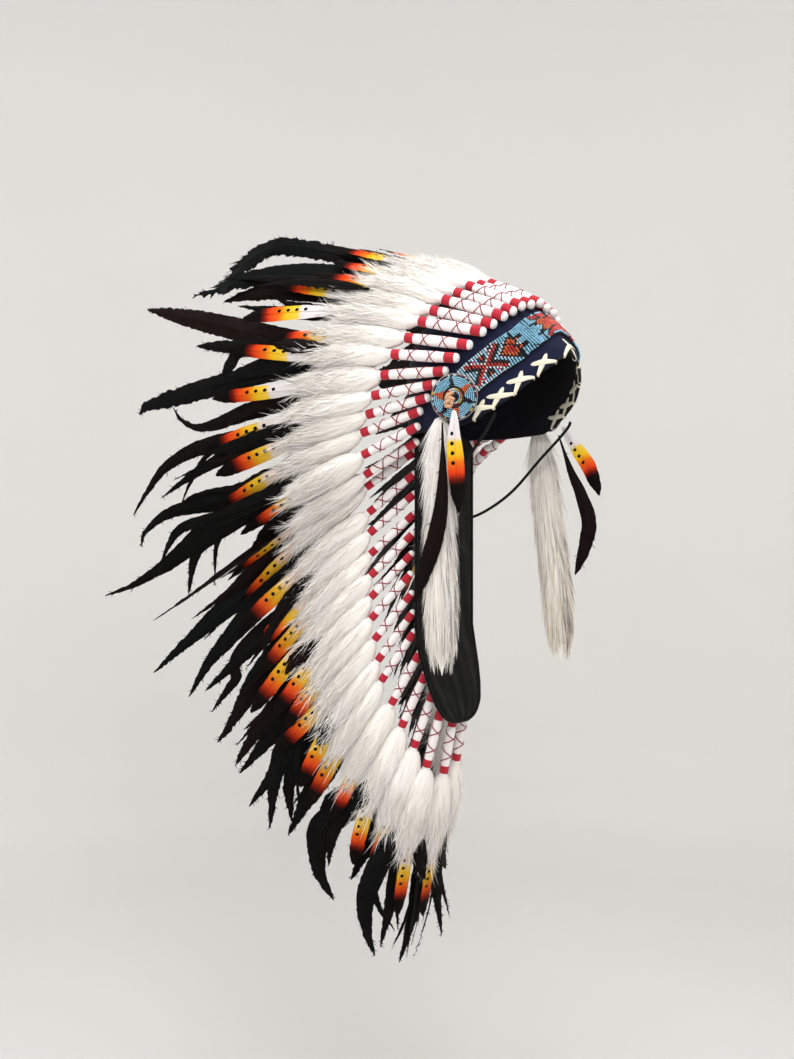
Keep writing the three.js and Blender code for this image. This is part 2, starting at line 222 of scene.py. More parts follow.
def turns(count):
    """Angles round a full turn, the last on the first."""
    return np.linspace(0, 2 * math.pi, count)


def columns_of(*values):
    """The values side by side in a last axis, once they are spread over each other."""
    return np.stack(np.broadcast_arrays(*values), axis=-1)


def steps_of(line):
    return np.linalg.norm(np.diff(line, axis=0), axis=1)


def distances(line):
    """How far each point of a line lies from its start, along the line."""
    return np.concatenate([[0], np.cumsum(steps_of(line))])


def waves(x, seed):
    """A smooth wandering value between about -1 and 1."""
    r = np.random.default_rng(seed)
    phase = r.uniform(0, 2 * math.pi, 3)
    return sum(np.sin(x * f + p) / 3 for f, p in zip((1, 2.3, 4.1), phase)) * 1.4


# ---------------------------------------------------------------- meshes

PLAIN = (0.5, 0, 0)


class Patches:
    """Grids of quads, joined into one mesh, which may be the mirror image of what is added."""

    def __init__(self, mirrored=False):
        self.mirrored = mirrored
        self.points = []
        self.uvs = []
        self.tones = []
        self.quads = []
        self.count = 0

    def add(self, points, uv, tone=PLAIN):
        """points and tone end in (rows, columns, 3) and uv in (rows, columns, 2). One tone may do for all."""
        rows, columns = points.shape[-3:-1]
        points = points.reshape(-1, rows * columns, 3).copy()
        tone = np.broadcast_to(np.asarray(tone, float), uv.reshape(-1, rows, columns, 2).shape[:-1] + (3,))
        grid = np.arange(rows * columns).reshape(rows, columns)
        quad = np.stack([grid[:-1, :-1], grid[:-1, 1:], grid[1:, 1:], grid[1:, :-1]], axis=-1)
        quad = quad.reshape(-1, 4)
        if self.mirrored:
            points[..., 0] *= -1
            quad = quad[:, ::-1]
        start = self.count + np.arange(len(points)) * rows * columns
        self.points.append(points.reshape(-1, 3))
        self.uvs.append(np.asarray(uv, float).reshape(-1, 2))
        self.tones.append(tone.reshape(-1, 3))
        self.quads.append((start[:, None, None] + quad).reshape(-1, 4))
        self.count += len(points) * rows * columns

    def tube(self, line, radius, columns, side=None, tone=PLAIN):
        self.add(tube_grid(line, radius, columns, side), tube_uv(line, columns), tone)

    def build(self, name, material, *nodes):
        """One smooth object of all the grids, which stands for the named CAD nodes."""
        points = np.concatenate(self.points) * MM
        quads = np.concatenate(self.quads)
        mesh = bpy.data.meshes.new(name)
        mesh.vertices.add(len(points))
        mesh.vertices.foreach_set("co", points.ravel())
        mesh.loops.add(quads.size)
        mesh.loops.foreach_set("vertex_index", quads.ravel())
        mesh.polygons.add(len(quads))
        mesh.polygons.foreach_set("loop_start", np.arange(0, quads.size, 4))
        mesh.polygons.foreach_set("use_smooth", np.ones(len(quads), bool))
        uv = np.concatenate(self.uvs)[quads.ravel()]
        mesh.uv_layers.new(name="UVMap").data.foreach_set("uv", uv.ravel())
        tone = np.concatenate([np.concatenate(self.tones), np.ones((len(points), 1))], axis=1)
        mesh.color_attributes.new("tone", "FLOAT_COLOR", "POINT").data.foreach_set("color", tone.ravel())
        mesh.update(calc_edges=True)
        mesh.materials.append(material)
        obj = bpy.data.objects.new(name, mesh)
        bpy.context.scene.collection.objects.link(obj)
        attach(obj, "root")
        if nodes:
            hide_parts(*nodes)
        return obj


def tube_grid(line, radius, columns, side=None):
    """A tube round a line of points: (rows, columns + 1, 3), with its last column on its first."""
    line = np.asarray(line, float)
    along = unit(np.gradient(line, axis=0))
    side = np.array([0.31, 0.2, 0.93]) if side is None else side
    a = unit(side - along * np.sum(along * side, axis=1, keepdims=True))
    b = np.cross(along, a)
    angle = turns(columns + 1)
    radius = np.broadcast_to(radius, len(line))[:, None, None]
    return line[:, None] + radius * (
        np.cos(angle)[None, :, None] * a[:, None] + np.sin(angle)[None, :, None] * b[:, None]
    )


def tube_uv(line, columns):
    """UV of a tube: millimetres along it, and the turn about it."""
    return columns_of(distances(line)[:, None], np.linspace(0, 1, columns + 1)[None])


def ribbons(lines, width, side):
    """Flat strips along many lines: lines is (n, rows, 3), width (rows,) or (n, rows), and side (n, 3)."""
    along = unit(np.gradient(lines, axis=1))
    side = side[:, None] if side.ndim == 2 else side
    across = unit(side - along * np.sum(along * side, axis=-1, keepdims=True))
    half = np.broadcast_to(width, lines.shape[:2])[..., None] / 2
    return np.stack([lines - across * half, lines + across * half], axis=2)


def ribbon_uv(count, rows):
    along = np.linspace(0, 1, rows)
    uv = columns_of(along[:, None], np.array([0.0, 1.0])[None])
    return np.broadcast_to(uv, (count, rows, 2, 2))


# ---------------------------------------------------------------- materials

class Paint:
    """A Principled material under construction, with short calls for its nodes."""

    def __init__(self, name, colour, roughness, **sockets):
        self.material = bpy.data.materials.new(name)
        self.material.use_nodes = True
        self.tree = self.material.node_tree
        self.shader = self.tree.nodes["Principled BSDF"]
        self.shader.inputs["Base Color"].default_value = (*colour, 1)
        self.shader.inputs["Roughness"].default_value = roughness
        for socket, value in sockets.items():
            self.shader.inputs[socket.replace("_", " ")].default_value = value

    def node(self, kind, values=(), **settings):
        """A node with its attributes set, and its inputs set from numbers or linked from sockets."""
        node = self.tree.nodes.new(kind)
        for name, value in settings.items():
            setattr(node, name, value)
        for name, value in dict(values).items():
            self.put(node.inputs[name], value)
        return node

    def put(self, socket, value):
        if isinstance(value, bpy.types.NodeSocket):
            self.tree.links.new(value, socket)
        else:
            socket.default_value = value

    def math(self, operation, a, b=0.0):
        return self.node("ShaderNodeMath", {0: a, 1: b}, operation=operation).outputs[0]

    def plus(self, a, b):
        return self.math("ADD", a, b)

    def minus(self, a, b):
        return self.math("SUBTRACT", a, b)

    def times(self, a, b):
        return self.math("MULTIPLY", a, b)

    def sine(self, a):
        return self.math("SINE", a)

    def uv(self, scale=(1, 1, 1)):
        source = self.node("ShaderNodeTexCoord").outputs["UV"]
        return self.node("ShaderNodeMapping", {"Vector": source, "Scale": scale}).outputs[0]

    def place(self, scale=(1000, 1000, 1000)):
        source = self.node("ShaderNodeTexCoord").outputs["Object"]
        return self.node("ShaderNodeMapping", {"Vector": source, "Scale": scale}).outputs[0]

    def split(self, vector):
        return self.node("ShaderNodeSeparateXYZ", {0: vector}).outputs

    def tone(self):
        """The mesh's tone attribute: three numbers whose meaning each material says."""
        source = self.node("ShaderNodeAttribute", attribute_name="tone").outputs["Vector"]
        return self.split(source)

    def noise(self, vector, scale, detail=3.0, roughness=0.6):
        values = {"Vector": vector, "Scale": scale, "Detail": detail, "Roughness": roughness}
        return self.node("ShaderNodeTexNoise", values).outputs["Fac"]

    def mix(self, factor, a, b):
        node = self.node("ShaderNodeMix", data_type="RGBA")
        for socket, value in zip((node.inputs[0], node.inputs[6], node.inputs[7]), (factor, a, b)):
            value = (*value, 1) if isinstance(value, tuple) else value
            self.put(socket, value)
        return node.outputs[2]

    def ramp(self, factor, *stops):
        """A colour ramp from (place, colour) stops."""
        node = self.node("ShaderNodeValToRGB", {0: factor})
        elements = node.color_ramp.elements
        while len(elements) < len(stops):
            elements.new(0.5)
        for element, (position, colour) in zip(elements, stops):
            element.position = position
            element.color = (*colour, 1)
        return node.outputs[0]

    def colour(self, value):
        self.put(self.shader.inputs["Base Color"], value)

    def bump(self, height, distance, strength=1.0):
        values = {"Height": height, "Distance": distance * MM, "Strength": strength}
        self.put(self.shader.inputs["Normal"], self.node("ShaderNodeBump", values).outputs[0])


def cloth(name, colour, pale, weave=0.45):
    """Woven cloth: a twill in the object's own space, a little fading, and a faint sheen."""
    paint = Paint(name, colour, 0.8, Sheen_Weight=0.04, Sheen_Roughness=0.5, Specular_IOR_Level=0.15)
    place = paint.place()
    x, y, z = paint.split(place)
    slant = paint.plus(z, paint.plus(x, y))
    twill = paint.sine(paint.times(slant, TURN / weave))
    cross = paint.sine(paint.times(paint.minus(z, x), TURN / weave / 2))
    threads = paint.times(twill, cross)
    fade = paint.noise(place, 0.03)
    fine = paint.noise(place, 0.9)
    shade = paint.mix(paint.times(fade, 0.5), colour, pale)
    paint.colour(paint.mix(paint.times(fine, 0.35), shade, pale))
    paint.bump(paint.plus(paint.times(threads, 0.5), fine), 0.12, 0.6)
    return paint.material


def leather(name, colour, wear_and_highlight_tone, roughness=0.38, gloss=0.4):
    """Soft leather: fine grain, slow creases, and paler patches: wear on most leathers, a painted highlight
    on the peach knot.
    """
    paint = Paint(name, colour, roughness, Specular_IOR_Level=gloss)
    place = paint.place()
    cells = paint.node("ShaderNodeTexVoronoi", {"Vector": place, "Scale": 0.9}, feature="DISTANCE_TO_EDGE")
    creases = paint.noise(paint.place((1000, 1000, 300)), 0.05, 5.0)
    wear_and_highlight = paint.noise(place, 0.12, 4.0)
    paint.colour(paint.mix(paint.times(wear_and_highlight, 0.5), colour, wear_and_highlight_tone))
    height = paint.plus(paint.times(cells.outputs["Distance"], 0.35), creases)
    paint.bump(height, 0.9, 0.5)
    rough = paint.plus(roughness - 0.12, paint.times(wear_and_highlight, 0.3))
    paint.put(paint.shader.inputs["Roughness"], rough)
    return paint.material


def felt():
    """White wool felt, with short fibres that catch the light."""
    paint = Paint("white_felt", (0.86, 0.83, 0.83), 0.95, Sheen_Weight=0.2, Sheen_Roughness=0.6)
    place = paint.place()
    fuzz = paint.noise(place, 1.6, 5.0, 0.75)
    clumps = paint.noise(place, 0.25)
    pale = paint.mix(paint.times(clumps, 0.6), (0.9, 0.875, 0.875), (0.78, 0.72, 0.715))
    paint.colour(paint.mix(paint.times(fuzz, 0.2), pale, (0.74, 0.67, 0.67)))
    paint.bump(fuzz, 0.2, 0.5)
    return paint.material


def red_cloth():
    """Crimson wool wound round a tube: threads round it, in UV."""
    paint = Paint("crimson_wool", (0.5, 0.006, 0.02), 0.75, Sheen_Weight=0.12)
    along = paint.split(paint.uv())[0]
    turns = paint.sine(paint.times(along, TURN / 0.75))
    blotch = paint.noise(paint.place(), 0.5)
    paint.colour(paint.mix(blotch, (0.58, 0.003, 0.028), (0.36, 0.002, 0.014)))
    paint.bump(paint.plus(paint.times(turns, 0.5), blotch), 0.2, 0.7)
    return paint.material


def thread():
    """Dark red thread, twisted."""
    paint = Paint("red_thread", (0.3, 0.008, 0.03), 0.6, Sheen_Weight=0.1)
    along = paint.split(paint.uv())[0]
    twist = paint.sine(paint.times(along, TURN / 1.1))
    share = paint.plus(paint.times(twist, 0.3), 0.5)
    paint.colour(paint.mix(share, (0.34, 0.003, 0.03), (0.19, 0.002, 0.015)))
    paint.bump(twist, 0.1, 0.6)
    return paint.material


def beads():
    """Glass seed beads: each takes its colour from the mesh, and has a small bright highlight."""
    gloss = {"Coat_Weight": 0.3, "Coat_Roughness": 0.1, "Specular_IOR_Level": 0.5}
    paint = Paint("glass_beads", (0.2, 0.6, 0.8), 0.2, **gloss)
    source = paint.node("ShaderNodeAttribute", attribute_name="tone").outputs["Color"]
    cloud = paint.noise(paint.place(), 0.7)
    paint.colour(paint.mix(paint.times(cloud, 0.3), source, (0.02, 0.03, 0.05)))
    return paint.material


def down_paint():
    """White down and fur: streaks along the strands with painted shade between them, creamier at random, dark
    where the mesh says so.
    """
    paint = Paint("white_down", (0.9, 0.88, 0.85), 0.7, Sheen_Weight=0.2, Sheen_Roughness=0.4)
    random, dark, _ = paint.tone()
    streak = paint.noise(paint.uv((0.6, 14, 1)), 3.0, 4.0, 0.7)
    white = paint.mix(random, (0.95, 0.945, 0.94), (0.86, 0.79, 0.69))
    # Painted shade: the streaks darken the white towards grey-brown between the strands.
    shaded = paint.mix(paint.times(streak, 0.3), white, (0.74, 0.66, 0.6))
    paint.colour(paint.mix(dark, shaded, (0.012, 0.01, 0.012)))
    paint.bump(streak, 0.6, 0.5)
    return paint.material


BARB_PITCH = 1.3
# The colours of black plumes, from greenish to brown: (place, colour).
BLACK_CASTS = (
    (0.0, (0.0012, 0.0026, 0.0026)), (0.5, (0.0016, 0.0014, 0.0016)), (1.0, (0.0095, 0.0032, 0.0016)),
)


def black_plume():
    """Black cock feathers: green-black to brown-black by plume, with raked barbs and a soft gloss."""
    paint = Paint("black_plume", (0.004, 0.004, 0.0045), 0.5, Specular_IOR_Level=0.06)
    random, pale, _ = paint.tone()
    cast = paint.ramp(random, *BLACK_CASTS)
    along = paint.split(paint.uv())[0]
    barbs = paint.sine(paint.times(along, TURN / BARB_PITCH))
    patchy = paint.noise(paint.uv((0.25, 0.05, 1)), 1.0, 4.0)
    lit = paint.mix(paint.times(patchy, 0.5), cast, (0.005, 0.0045, 0.0045))
    paint.colour(paint.mix(pale, lit, (0.3, 0.27, 0.24)))
    paint.bump(paint.plus(barbs, paint.times(patchy, 2)), 0.16, 0.6)
    return paint.material


# The paint from base to tip, on the upper feathers and on the browner lower ones: (place, colour).
CLEAN_STOPS = (
    (0.0, (0.82, 0.79, 0.8)), (0.36, (0.78, 0.72, 0.73)), (0.4, (0.84, 0.58, 0.06)),
    (0.52, (0.86, 0.5, 0.015)), (0.6, (0.84, 0.16, 0.01)), (0.7, (0.76, 0.05, 0.01)),
    (0.76, (0.16, 0.008, 0.003)), (0.81, (0.002, 0.002, 0.002)),
)
BROWN_STOPS = (
    (0.0, (0.66, 0.56, 0.52)), (0.22, (0.6, 0.4, 0.3)), (0.4, (0.62, 0.36, 0.04)),
    (0.54, (0.55, 0.24, 0.012)), (0.64, (0.6, 0.085, 0.01)), (0.72, (0.22, 0.014, 0.004)),
    (0.8, (0.006, 0.003, 0.002)), (1.0, (0.002, 0.002, 0.002)),
)
# The dots beside a painted feather's quill: places and radius as shares of its length and width.
DOT_FIRST = 0.32
DOT_STEP = 0.095
DOT_COUNT = 4
DOT_ACROSS = 0.33
DOT_RADIUS = 0.145
FEATHER_ASPECT = 6.0  # a painted feather's length over its width


def painted_plume():
    """Painted feather. u runs from its base to its tip, v across it, and four dots follow the quill."""
    paint = Paint("painted_plume", (0.8, 0.6, 0.2), 0.5, Specular_IOR_Level=0.04)
    _, warm, shift = paint.tone()
    base, v, _ = paint.split(paint.uv())
    u = paint.plus(base, shift)
    wander = paint.times(paint.minus(paint.noise(paint.uv((3, 9, 1)), 2.0), 0.5), 0.07)
    place = paint.plus(u, wander)
    body = paint.mix(warm, paint.ramp(place, *CLEAN_STOPS), paint.ramp(place, *BROWN_STOPS))
    barbs = paint.sine(paint.times(u, TURN * 95))
    streak = paint.noise(paint.uv((60, 3, 1)), 2.0, 3.0)
    body = paint.mix(paint.times(streak, 0.3), body, (0.01, 0.002, 0.001))
    paint.colour(paint.mix(dots(paint, u, v), body, (0.004, 0.004, 0.004)))
    paint.bump(paint.plus(barbs, streak), 0.14, 0.5)
    return paint.material


def dots(paint, u, v):
    """1 inside the row of dots beside the quill, and 0 outside."""
    nearest = paint.math("ROUND", paint.math("DIVIDE", paint.minus(u, DOT_FIRST), DOT_STEP))
    nearest = paint.math("MINIMUM", paint.math("MAXIMUM", nearest, 0), DOT_COUNT - 1)
    centre = paint.plus(paint.times(nearest, DOT_STEP), DOT_FIRST)
    du = paint.times(paint.minus(u, centre), FEATHER_ASPECT)
    dv = paint.minus(v, DOT_ACROSS)
    away = paint.math("SQRT", paint.plus(paint.times(du, du), paint.times(dv, dv)))
    ragged = paint.times(paint.noise(paint.uv((12, 4, 1)), 6.0), 0.05)
    return paint.math("LESS_THAN", paint.plus(away, ragged), DOT_RADIUS)


MATERIALS = {
    "navy": cloth("navy_cloth", (0.004, 0.006, 0.023), (0.011, 0.015, 0.05)),
    "lining": cloth("black_lining", (0.004, 0.004, 0.006), (0.014, 0.014, 0.019)),
    "leather": leather("black_leather", (0.0012, 0.0012, 0.0015), (0.0042, 0.0042, 0.005), 0.36, 0.12),
    "suede": leather("cream_suede", (0.76, 0.7, 0.55), (0.85, 0.81, 0.7), 0.75, 0.25),
    "backing": leather("grey_leather", (0.25, 0.24, 0.23), (0.4, 0.39, 0.37), 0.5),
    # The peach knot's paler tone is cream: a painted highlight, spread in patches.
    "knot": leather("peach_leather", (0.5, 0.24, 0.13), (0.88, 0.64, 0.44), 0.5, 0.25),
    "felt": felt(),
    "red": red_cloth(),
    "thread": thread(),
    "beads": beads(),
    "down": down_paint(),
    "black": black_plume(),
    "painted": painted_plume(),
}


# ---------------------------------------------------------------- chin cord

def chin_cord():
    """The whole loop of the chin cord, from one lower edge of the cap round to the other."""
    other = CORD[:-1][::-1] * [-1, 1, 1]
    line = smooth_line(np.concatenate([CORD, other]), 90)
    patches = Patches()
    patches.tube(line, CORD_RADIUS, CORD_SIDES)
    for end in (0, -1):
        rim = tube_grid(line, CORD_RADIUS, CORD_SIDES)[end]
        closing = np.stack([rim, np.broadcast_to(line[end], rim.shape)])
        patches.add(closing, np.zeros((2, CORD_SIDES + 1, 2)))
    cord = patches.build("chin_cord_braid", braid(), "chin_cord")


def braid():
    """Black braid: two sets of four strands that wind opposite ways, paler on the raised strands and darker
    in the grooves: painted shade.
    """
    paint = Paint("black_braid", (0.01, 0.01, 0.011), 0.7, Specular_IOR_Level=0.15)
    along, turn, _ = paint.split(paint.uv())
    lay, strand = paint.times(along, 2.4), paint.times(turn, 25.13)
    one, two = paint.sine(paint.plus(lay, strand)), paint.sine(paint.minus(lay, strand))
    height = paint.math("MAXIMUM", one, two)
    # Painted shade: the grooves between the strands are darker than the raised strands.
    paint.colour(paint.mix(paint.times(height, 0.4), (0.005, 0.005, 0.006), (0.022, 0.022, 0.024)))
    paint.bump(height, 0.35, 0.8)
    return paint.material


chin_cord()


# ---------------------------------------------------------------- cap

def cap_point(angle, z):
    """Points of the cap's outer surface, at angles from the front centre and heights."""
    half, front, back = look(CAP, z)
    c = np.cos(angle)
    x = -half * np.sin(angle) * (1 - CAP_TAPER * c)
    y = (back - front) / 2 - (back + front) / 2 * c
    return columns_of(x, y, z)


def cap_offset(angle, z, distance):
    """Points off the cap's outer surface, and the surface's outward direction there."""
    along = cap_point(angle + 0.01, z) - cap_point(angle - 0.01, z)
    up = cap_point(angle, z + 0.6) - cap_point(angle, z - 0.6)
    normal = unit(np.cross(up, along))
    return cap_point(angle, z) + normal * np.asarray(distance, float)[..., None], normal


def rim_height(angle):
    degrees = np.degrees(np.abs(angle)) % 360
    return look(RIM, np.minimum(degrees, 360 - degrees))[0]


def cap_shell(name, material, distance, share_from, share_to, nodes=()):
    """One face of the cap, with slow puckers, from one share of its height to another."""
    columns, rows = 160, 56
    angle = turns(columns + 1)[None]
    share = np.linspace(share_from, share_to, rows)[:, None]
    low = rim_height(angle)
    z = low + (CROWN - 0.3 - low) * share
    fade = np.sin(math.pi * np.minimum(1, share * 4)) ** 2
    pucker = 0.5 * waves(angle * 9, 3) * waves(z * 0.07, 4) * fade
    points, _ = cap_offset(angle + 0 * z, z, distance + pucker)
    uv = columns_of(angle * 90, z)
    patches = Patches()
    patches.add(points, uv)
    if distance > -1:
        inner, _ = cap_offset(angle, low, np.full(angle.shape, -CAP_WALL))
        patches.add(np.stack([inner[0], points[0]]), np.stack([uv[0], uv[0]]))
    return patches.build(name, material, *nodes)


def rim_binding():
    """A narrow rolled edge of black cloth along the cap's lower edge."""
    angle = turns(241)
    line, _ = cap_offset(angle, rim_height(angle) + 0.8, np.full(angle.shape, -CAP_WALL / 2))
    patches = Patches()
    patches.tube(line, 1.5, 8, UP)
    patches.build("rim_binding", MATERIALS["lining"])


LACE_ANGLES = (1, 26, 43.5, 57.5, 69.5)
# The two laces of a cross: [towards the front, above the rim], from the tip to the rim.
LACES = (
    ((9.5, 13.6), (4.8, 10.8), (0, 8), (-7.5, 4), (-13.5, 0.4)),
    ((-12.5, 14), (-6, 11), (0, 8), (8, 4.2), (14.5, 0.4)),
)
# A lace's width by share of its length.
LACE_WIDTHS = np.array([
    [0, 1.6], [0.05, 4.8], [0.25, 6.4], [0.42, 4], [0.5, 3.2], [0.58, 4], [0.75, 6.4], [0.95, 4.8],
    [1, 1.6],
])
LACE_THICKNESS = 1.0
LACE_LENGTH = 40
LACE_STEP = 0.02  # the turn to each side over which the rim's slope is measured


def lacing():
    """Crosses of suede lace, which run over the lower edge from the outside to the inside."""
    patches = Patches()
    for sign in (-1, 1):
        for degrees in LACE_ANGLES[sign > 0:]:
            for order, lace in enumerate(LACES):
                patches.add(*lace_strip(sign * degrees, lace, order))
    patches.build("rim_lacing", MATERIALS["suede"])


def lace_strip(degrees, lace, order):
    """One flat lace: from its tip outside, round the lower edge, and back up inside."""
    lace = np.array(lace, float)
    ahead = -math.copysign(1, degrees)
    centre = math.radians(degrees)
    step = np.array([-LACE_STEP, LACE_STEP])
    before, after = cap_point(centre + step, rim_height(centre + step))
    per_radian = np.hypot(*(after - before)[:2]) / (2 * LACE_STEP)
    slope = math.atan(ahead * (after - before)[2] / (2 * LACE_STEP) / per_radian)
    angle = centre + ahead * (lace[:, 0] * math.cos(slope) - lace[:, 1] * math.sin(slope)) / per_radian
    z = rim_height(angle) + lace[:, 1] / math.cos(slope)
    lift = 0.55 + 0.9 * order * np.exp(-(lace[:, 0] / 5) ** 2)
    lift[0] = 0
    outside, _ = cap_offset(angle, z, lift)
    inside, _ = cap_offset(angle, z, -CAP_WALL - lift)
    edge, _ = cap_offset(angle[-1:], rim_height(angle[-1:]) - 1.5, np.array([-CAP_WALL / 2]))
    line = smooth_line(np.concatenate([outside, edge, inside[::-1]]), 31)
    share = np.linspace(0, 1, len(line))
    _, normal = cap_offset(angle[2:3], z[2:3], np.zeros(1))
    along = unit(np.gradient(line, axis=0))
    side = np.cross(along[8], normal[0])
    side = unit(side - along * np.sum(along * side, axis=1, keepdims=True))
    face = np.cross(side, along)
    half = look(LACE_WIDTHS, share)[0] / 2
    turn = turns(9)
    points = line[:, None] + (
        np.cos(turn)[None, :, None] * side[:, None] * half[:, None, None]
        + np.sin(turn)[None, :, None] * face[:, None] * LACE_THICKNESS / 2
    )
    return points, columns_of(share[:, None] * LACE_LENGTH, turn[None])


def cap():
    shell = cap_shell("cap_cloth", MATERIALS["navy"], 0.0, 0.0, 1.0, ("cap",))
    lining = cap_shell("cap_lining", MATERIALS["lining"], -CAP_WALL, 0.0, 0.97)
    rim_binding()
    lacing()


cap()


# ---------------------------------------------------------------- beadwork

BEAD_COLOURS = {
    "b": (0.32, 0.68, 0.9), "k": (0.008, 0.008, 0.012), "w": (0.8, 0.84, 0.88), "r": (0.68, 0.035, 0.02),
    "o": (0.82, 0.15, 0.03), "y": (0.85, 0.6, 0.04), "m": (0.3, 0.01, 0.05), "n": (0.01, 0.015, 0.07),
    "p": (0.75, 0.04, 0.2),
}
BEAD_COLUMN = 3.3
BEAD_ROW = 2.4
BEAD_RADIUS = 1.3
BEAD_LENGTH = 1.95
BEAD_LIFT = 3.6
BACKING_LENGTH = 292
BACKING_WIDTH = 38.5
BACKING_UV = 40
# The brow band from the rosette (left) to the front centre (right), and from its top row to its middle
# row. The rows below and the columns beyond are its mirror.
BAND_CHART = (
    "wbwbwbwbwbwbwbwbbbbbbbbbbbbbbbbbbbrrkbbbbbbb",
    "wbwrwkwbwbwbwkwrwbbbbkbbbbbbbbbbbbkrrrrrrrrr",
    "wbwrrwpbkokbpwrrkbbbkkkbbbbbbbbbbbbkrrrrrrrr",
    "wbkkrrwbkrkbwrrkkbwkokkbbbbbbbbbbbbbkkkkrrrr",
    "bwbkkrrwkkkwrrkkbwkoookkkkbbbbbkkkkkooookkkk",
    "wbwbkkrrwkwrrkkbwkooroookkbbbbbbbkkooooorroo",
    "bwbwbkkrrwrrkkbwkoorrokwbbbbbbbbbbwkoorrrrrr",
    "wbwbbwkkrorkkwbkoorrrkwbbbbbbbbbbbbwkorrorro",
)


def bead(centres, axes, normals, colours, radius, length):
    """Small round glass beads, each with its hole along its axis: grids for Patches.add."""
    profile = np.array([[-0.5, 0.5], [-0.3, 0.97], [0.3, 0.97], [0.5, 0.5]])
    turn = turns(8)
    other = np.cross(axes, normals)
    size = 1 + spread(-0.06, 0.06, (len(centres), 1, 1, 1))
    ring = (np.cos(turn)[None, None, :, None] * normals[:, None, None]
            + np.sin(turn)[None, None, :, None] * other[:, None, None])
    ring = ring * profile[None, :, 1, None, None] * radius
    body = axes[:, None, None] * (profile[None, :, 0, None, None] * length)
    points = centres[:, None, None] + (ring + body) * size
    colours = np.clip(colours * spread(0.8, 1.12, (len(centres), 1)), 0, 1)
    tone = np.broadcast_to(colours[:, None, None], points.shape)
    return points, np.zeros(points.shape[:-1] + (2,)), tone


def on_cap(points, distance):
    """The angles and heights of the cap's surface nearest to points that lie close to it."""
    z = points[..., 2]
    half, front, back = look(CAP, z)
    angle = np.zeros(z.shape)
    for _ in range(6):
        across = -points[..., 0] / ((half + distance) * (1 - CAP_TAPER * np.cos(angle)))
        ahead = ((back - front) / 2 - points[..., 1]) / ((back + front) / 2 + distance)
        angle = np.arctan2(across, ahead)
    return angle, z


def band_line():
    """The band's middle line from one end to the other, and its outward directions."""
    degrees = np.linspace(-BAND[-1, 0], BAND[-1, 0], 801)
    low, high = look(BAND, np.abs(degrees))
    return cap_offset(np.radians(degrees), (low + high) / 2, np.full(degrees.shape, BAND_FACE))


def band_grid(place, offset):
    """Points on the band at distances along and across its middle line, with their outward and up ways."""
    line, normals = band_line()
    steps = distances(line)
    place = place + steps[-1] / 2
    along = unit(read(place, steps, np.gradient(line, axis=0)))
    normal = unit(read(place, steps, normals))
    up = np.cross(normal, along)
    up = unit(up * np.sign(up[:, 2:]))
    past = (place - np.clip(place, 0, steps[-1]))[:, None]
    points = (read(place, steps, line) + along * past)[:, None] + up[:, None] * offset[None, :, None]
    angle, z = on_cap(points, BAND_FACE)
    surface, outward = cap_offset(angle, z, np.zeros(z.shape))
    return surface, outward, np.broadcast_to(up[:, None], points.shape)


def band_beads():
    """Rows of beads across the band, coloured from the chart."""
    letters = np.array([list(row) for row in BAND_CHART + BAND_CHART[-2::-1]]).T
    letters = np.concatenate([letters, letters[::-1]])
    columns, rows = letters.shape
    place = ((columns - 1) / 2 - np.arange(columns)) * BEAD_COLUMN
    offset = ((rows - 1) / 2 - np.arange(rows)) * BEAD_ROW
    surface, outward, up = band_grid(place, offset)
    colours = np.array([[BEAD_COLOURS[c] for c in column] for column in letters])
    centres = (surface + outward * BEAD_LIFT).reshape(-1, 3)
    flat = (centres, up.reshape(-1, 3), outward.reshape(-1, 3), colours.reshape(-1, 3))
    return bead(*flat, BEAD_RADIUS, BEAD_LENGTH)




def band_backing():
    """The dark cloth under the beads, a little wider than they are."""
    place = np.linspace(-0.5, 0.5, 181) * BACKING_LENGTH
    share = np.array([-0.5, -0.5, -0.485, -0.2, 0.2, 0.485, 0.5, 0.5])
    depth = np.array([0.3, 2.0, 2.7, 2.7, 2.7, 2.7, 2.0, 0.3])
    surface, outward, _ = band_grid(place, share * BACKING_WIDTH)
    points = surface + outward * depth[None, :, None]
    patches = Patches()
    patches.add(points, columns_of(place[:, None], share[None] * BACKING_UV))
    patches.build("band_backing", MATERIALS["lining"])


def brow_band():
    patches = Patches()
    patches.add(*band_beads())
    patches.build("band_beads", MATERIALS["beads"], "brow_band")
    band_backing()


brow_band()


# Rosette rings from the edge inwards. A bar is its colour, its middle angle, clockwise from the top, and
# its half widths at the outer and the inner blue ring.
ROSETTE_RINGS = 11
RING_STEP = 2.25
RING_BEAD_STEP = 2.05
BLUE_RINGS = 5
BARS = (
    ("k", 352, 1.8, 3.2), ("k", 105, 1.2, 3.6), ("k", 218, 1.8, 3.6),
    ("o", 55, 0.9, 4.6), ("o", 168, 1.2, 4.4), ("o", 278, 1.2, 4.6),
)
RING_MIX = "wkmkwnykrkwmkbkwkymknw"


def rosette_colour(ring, angle, radius):
    """The colour letter of a bead, by its ring from the edge (0), its angle in degrees and its radius."""
    if ring == 0:
        return RING_MIX[int(angle / 360 * 2.3 * len(RING_MIX)) % len(RING_MIX)]
    if ring <= BLUE_RINGS:
        for letter, middle, outer, inner in BARS:
            away = math.radians(abs((angle - middle + 180) % 360 - 180)) * radius
            if away < outer + (inner - outer) * (ring - 1) / (BLUE_RINGS - 1):
                return letter
        return "b"
    if ring == BLUE_RINGS + 1:
        return "k"
    if ring == BLUE_RINGS + 2:
        return "yooymmnwrw"[int(angle / 36) % 10]
    if ring == BLUE_RINGS + 3:
        return "bbbbwbwbnb"[int(angle / 36) % 10]
    return "nk"[ring % 2]


def rosette_axes():
    """The rosette's centre, its outward direction, and the direction across it."""
    turn = math.radians(ROSETTE_TURN)
    out = np.array([-math.cos(turn), -math.sin(turn), 0])
    across = np.array([math.sin(turn), -math.cos(turn), 0])
    return ROSETTE_CENTRE, out, across


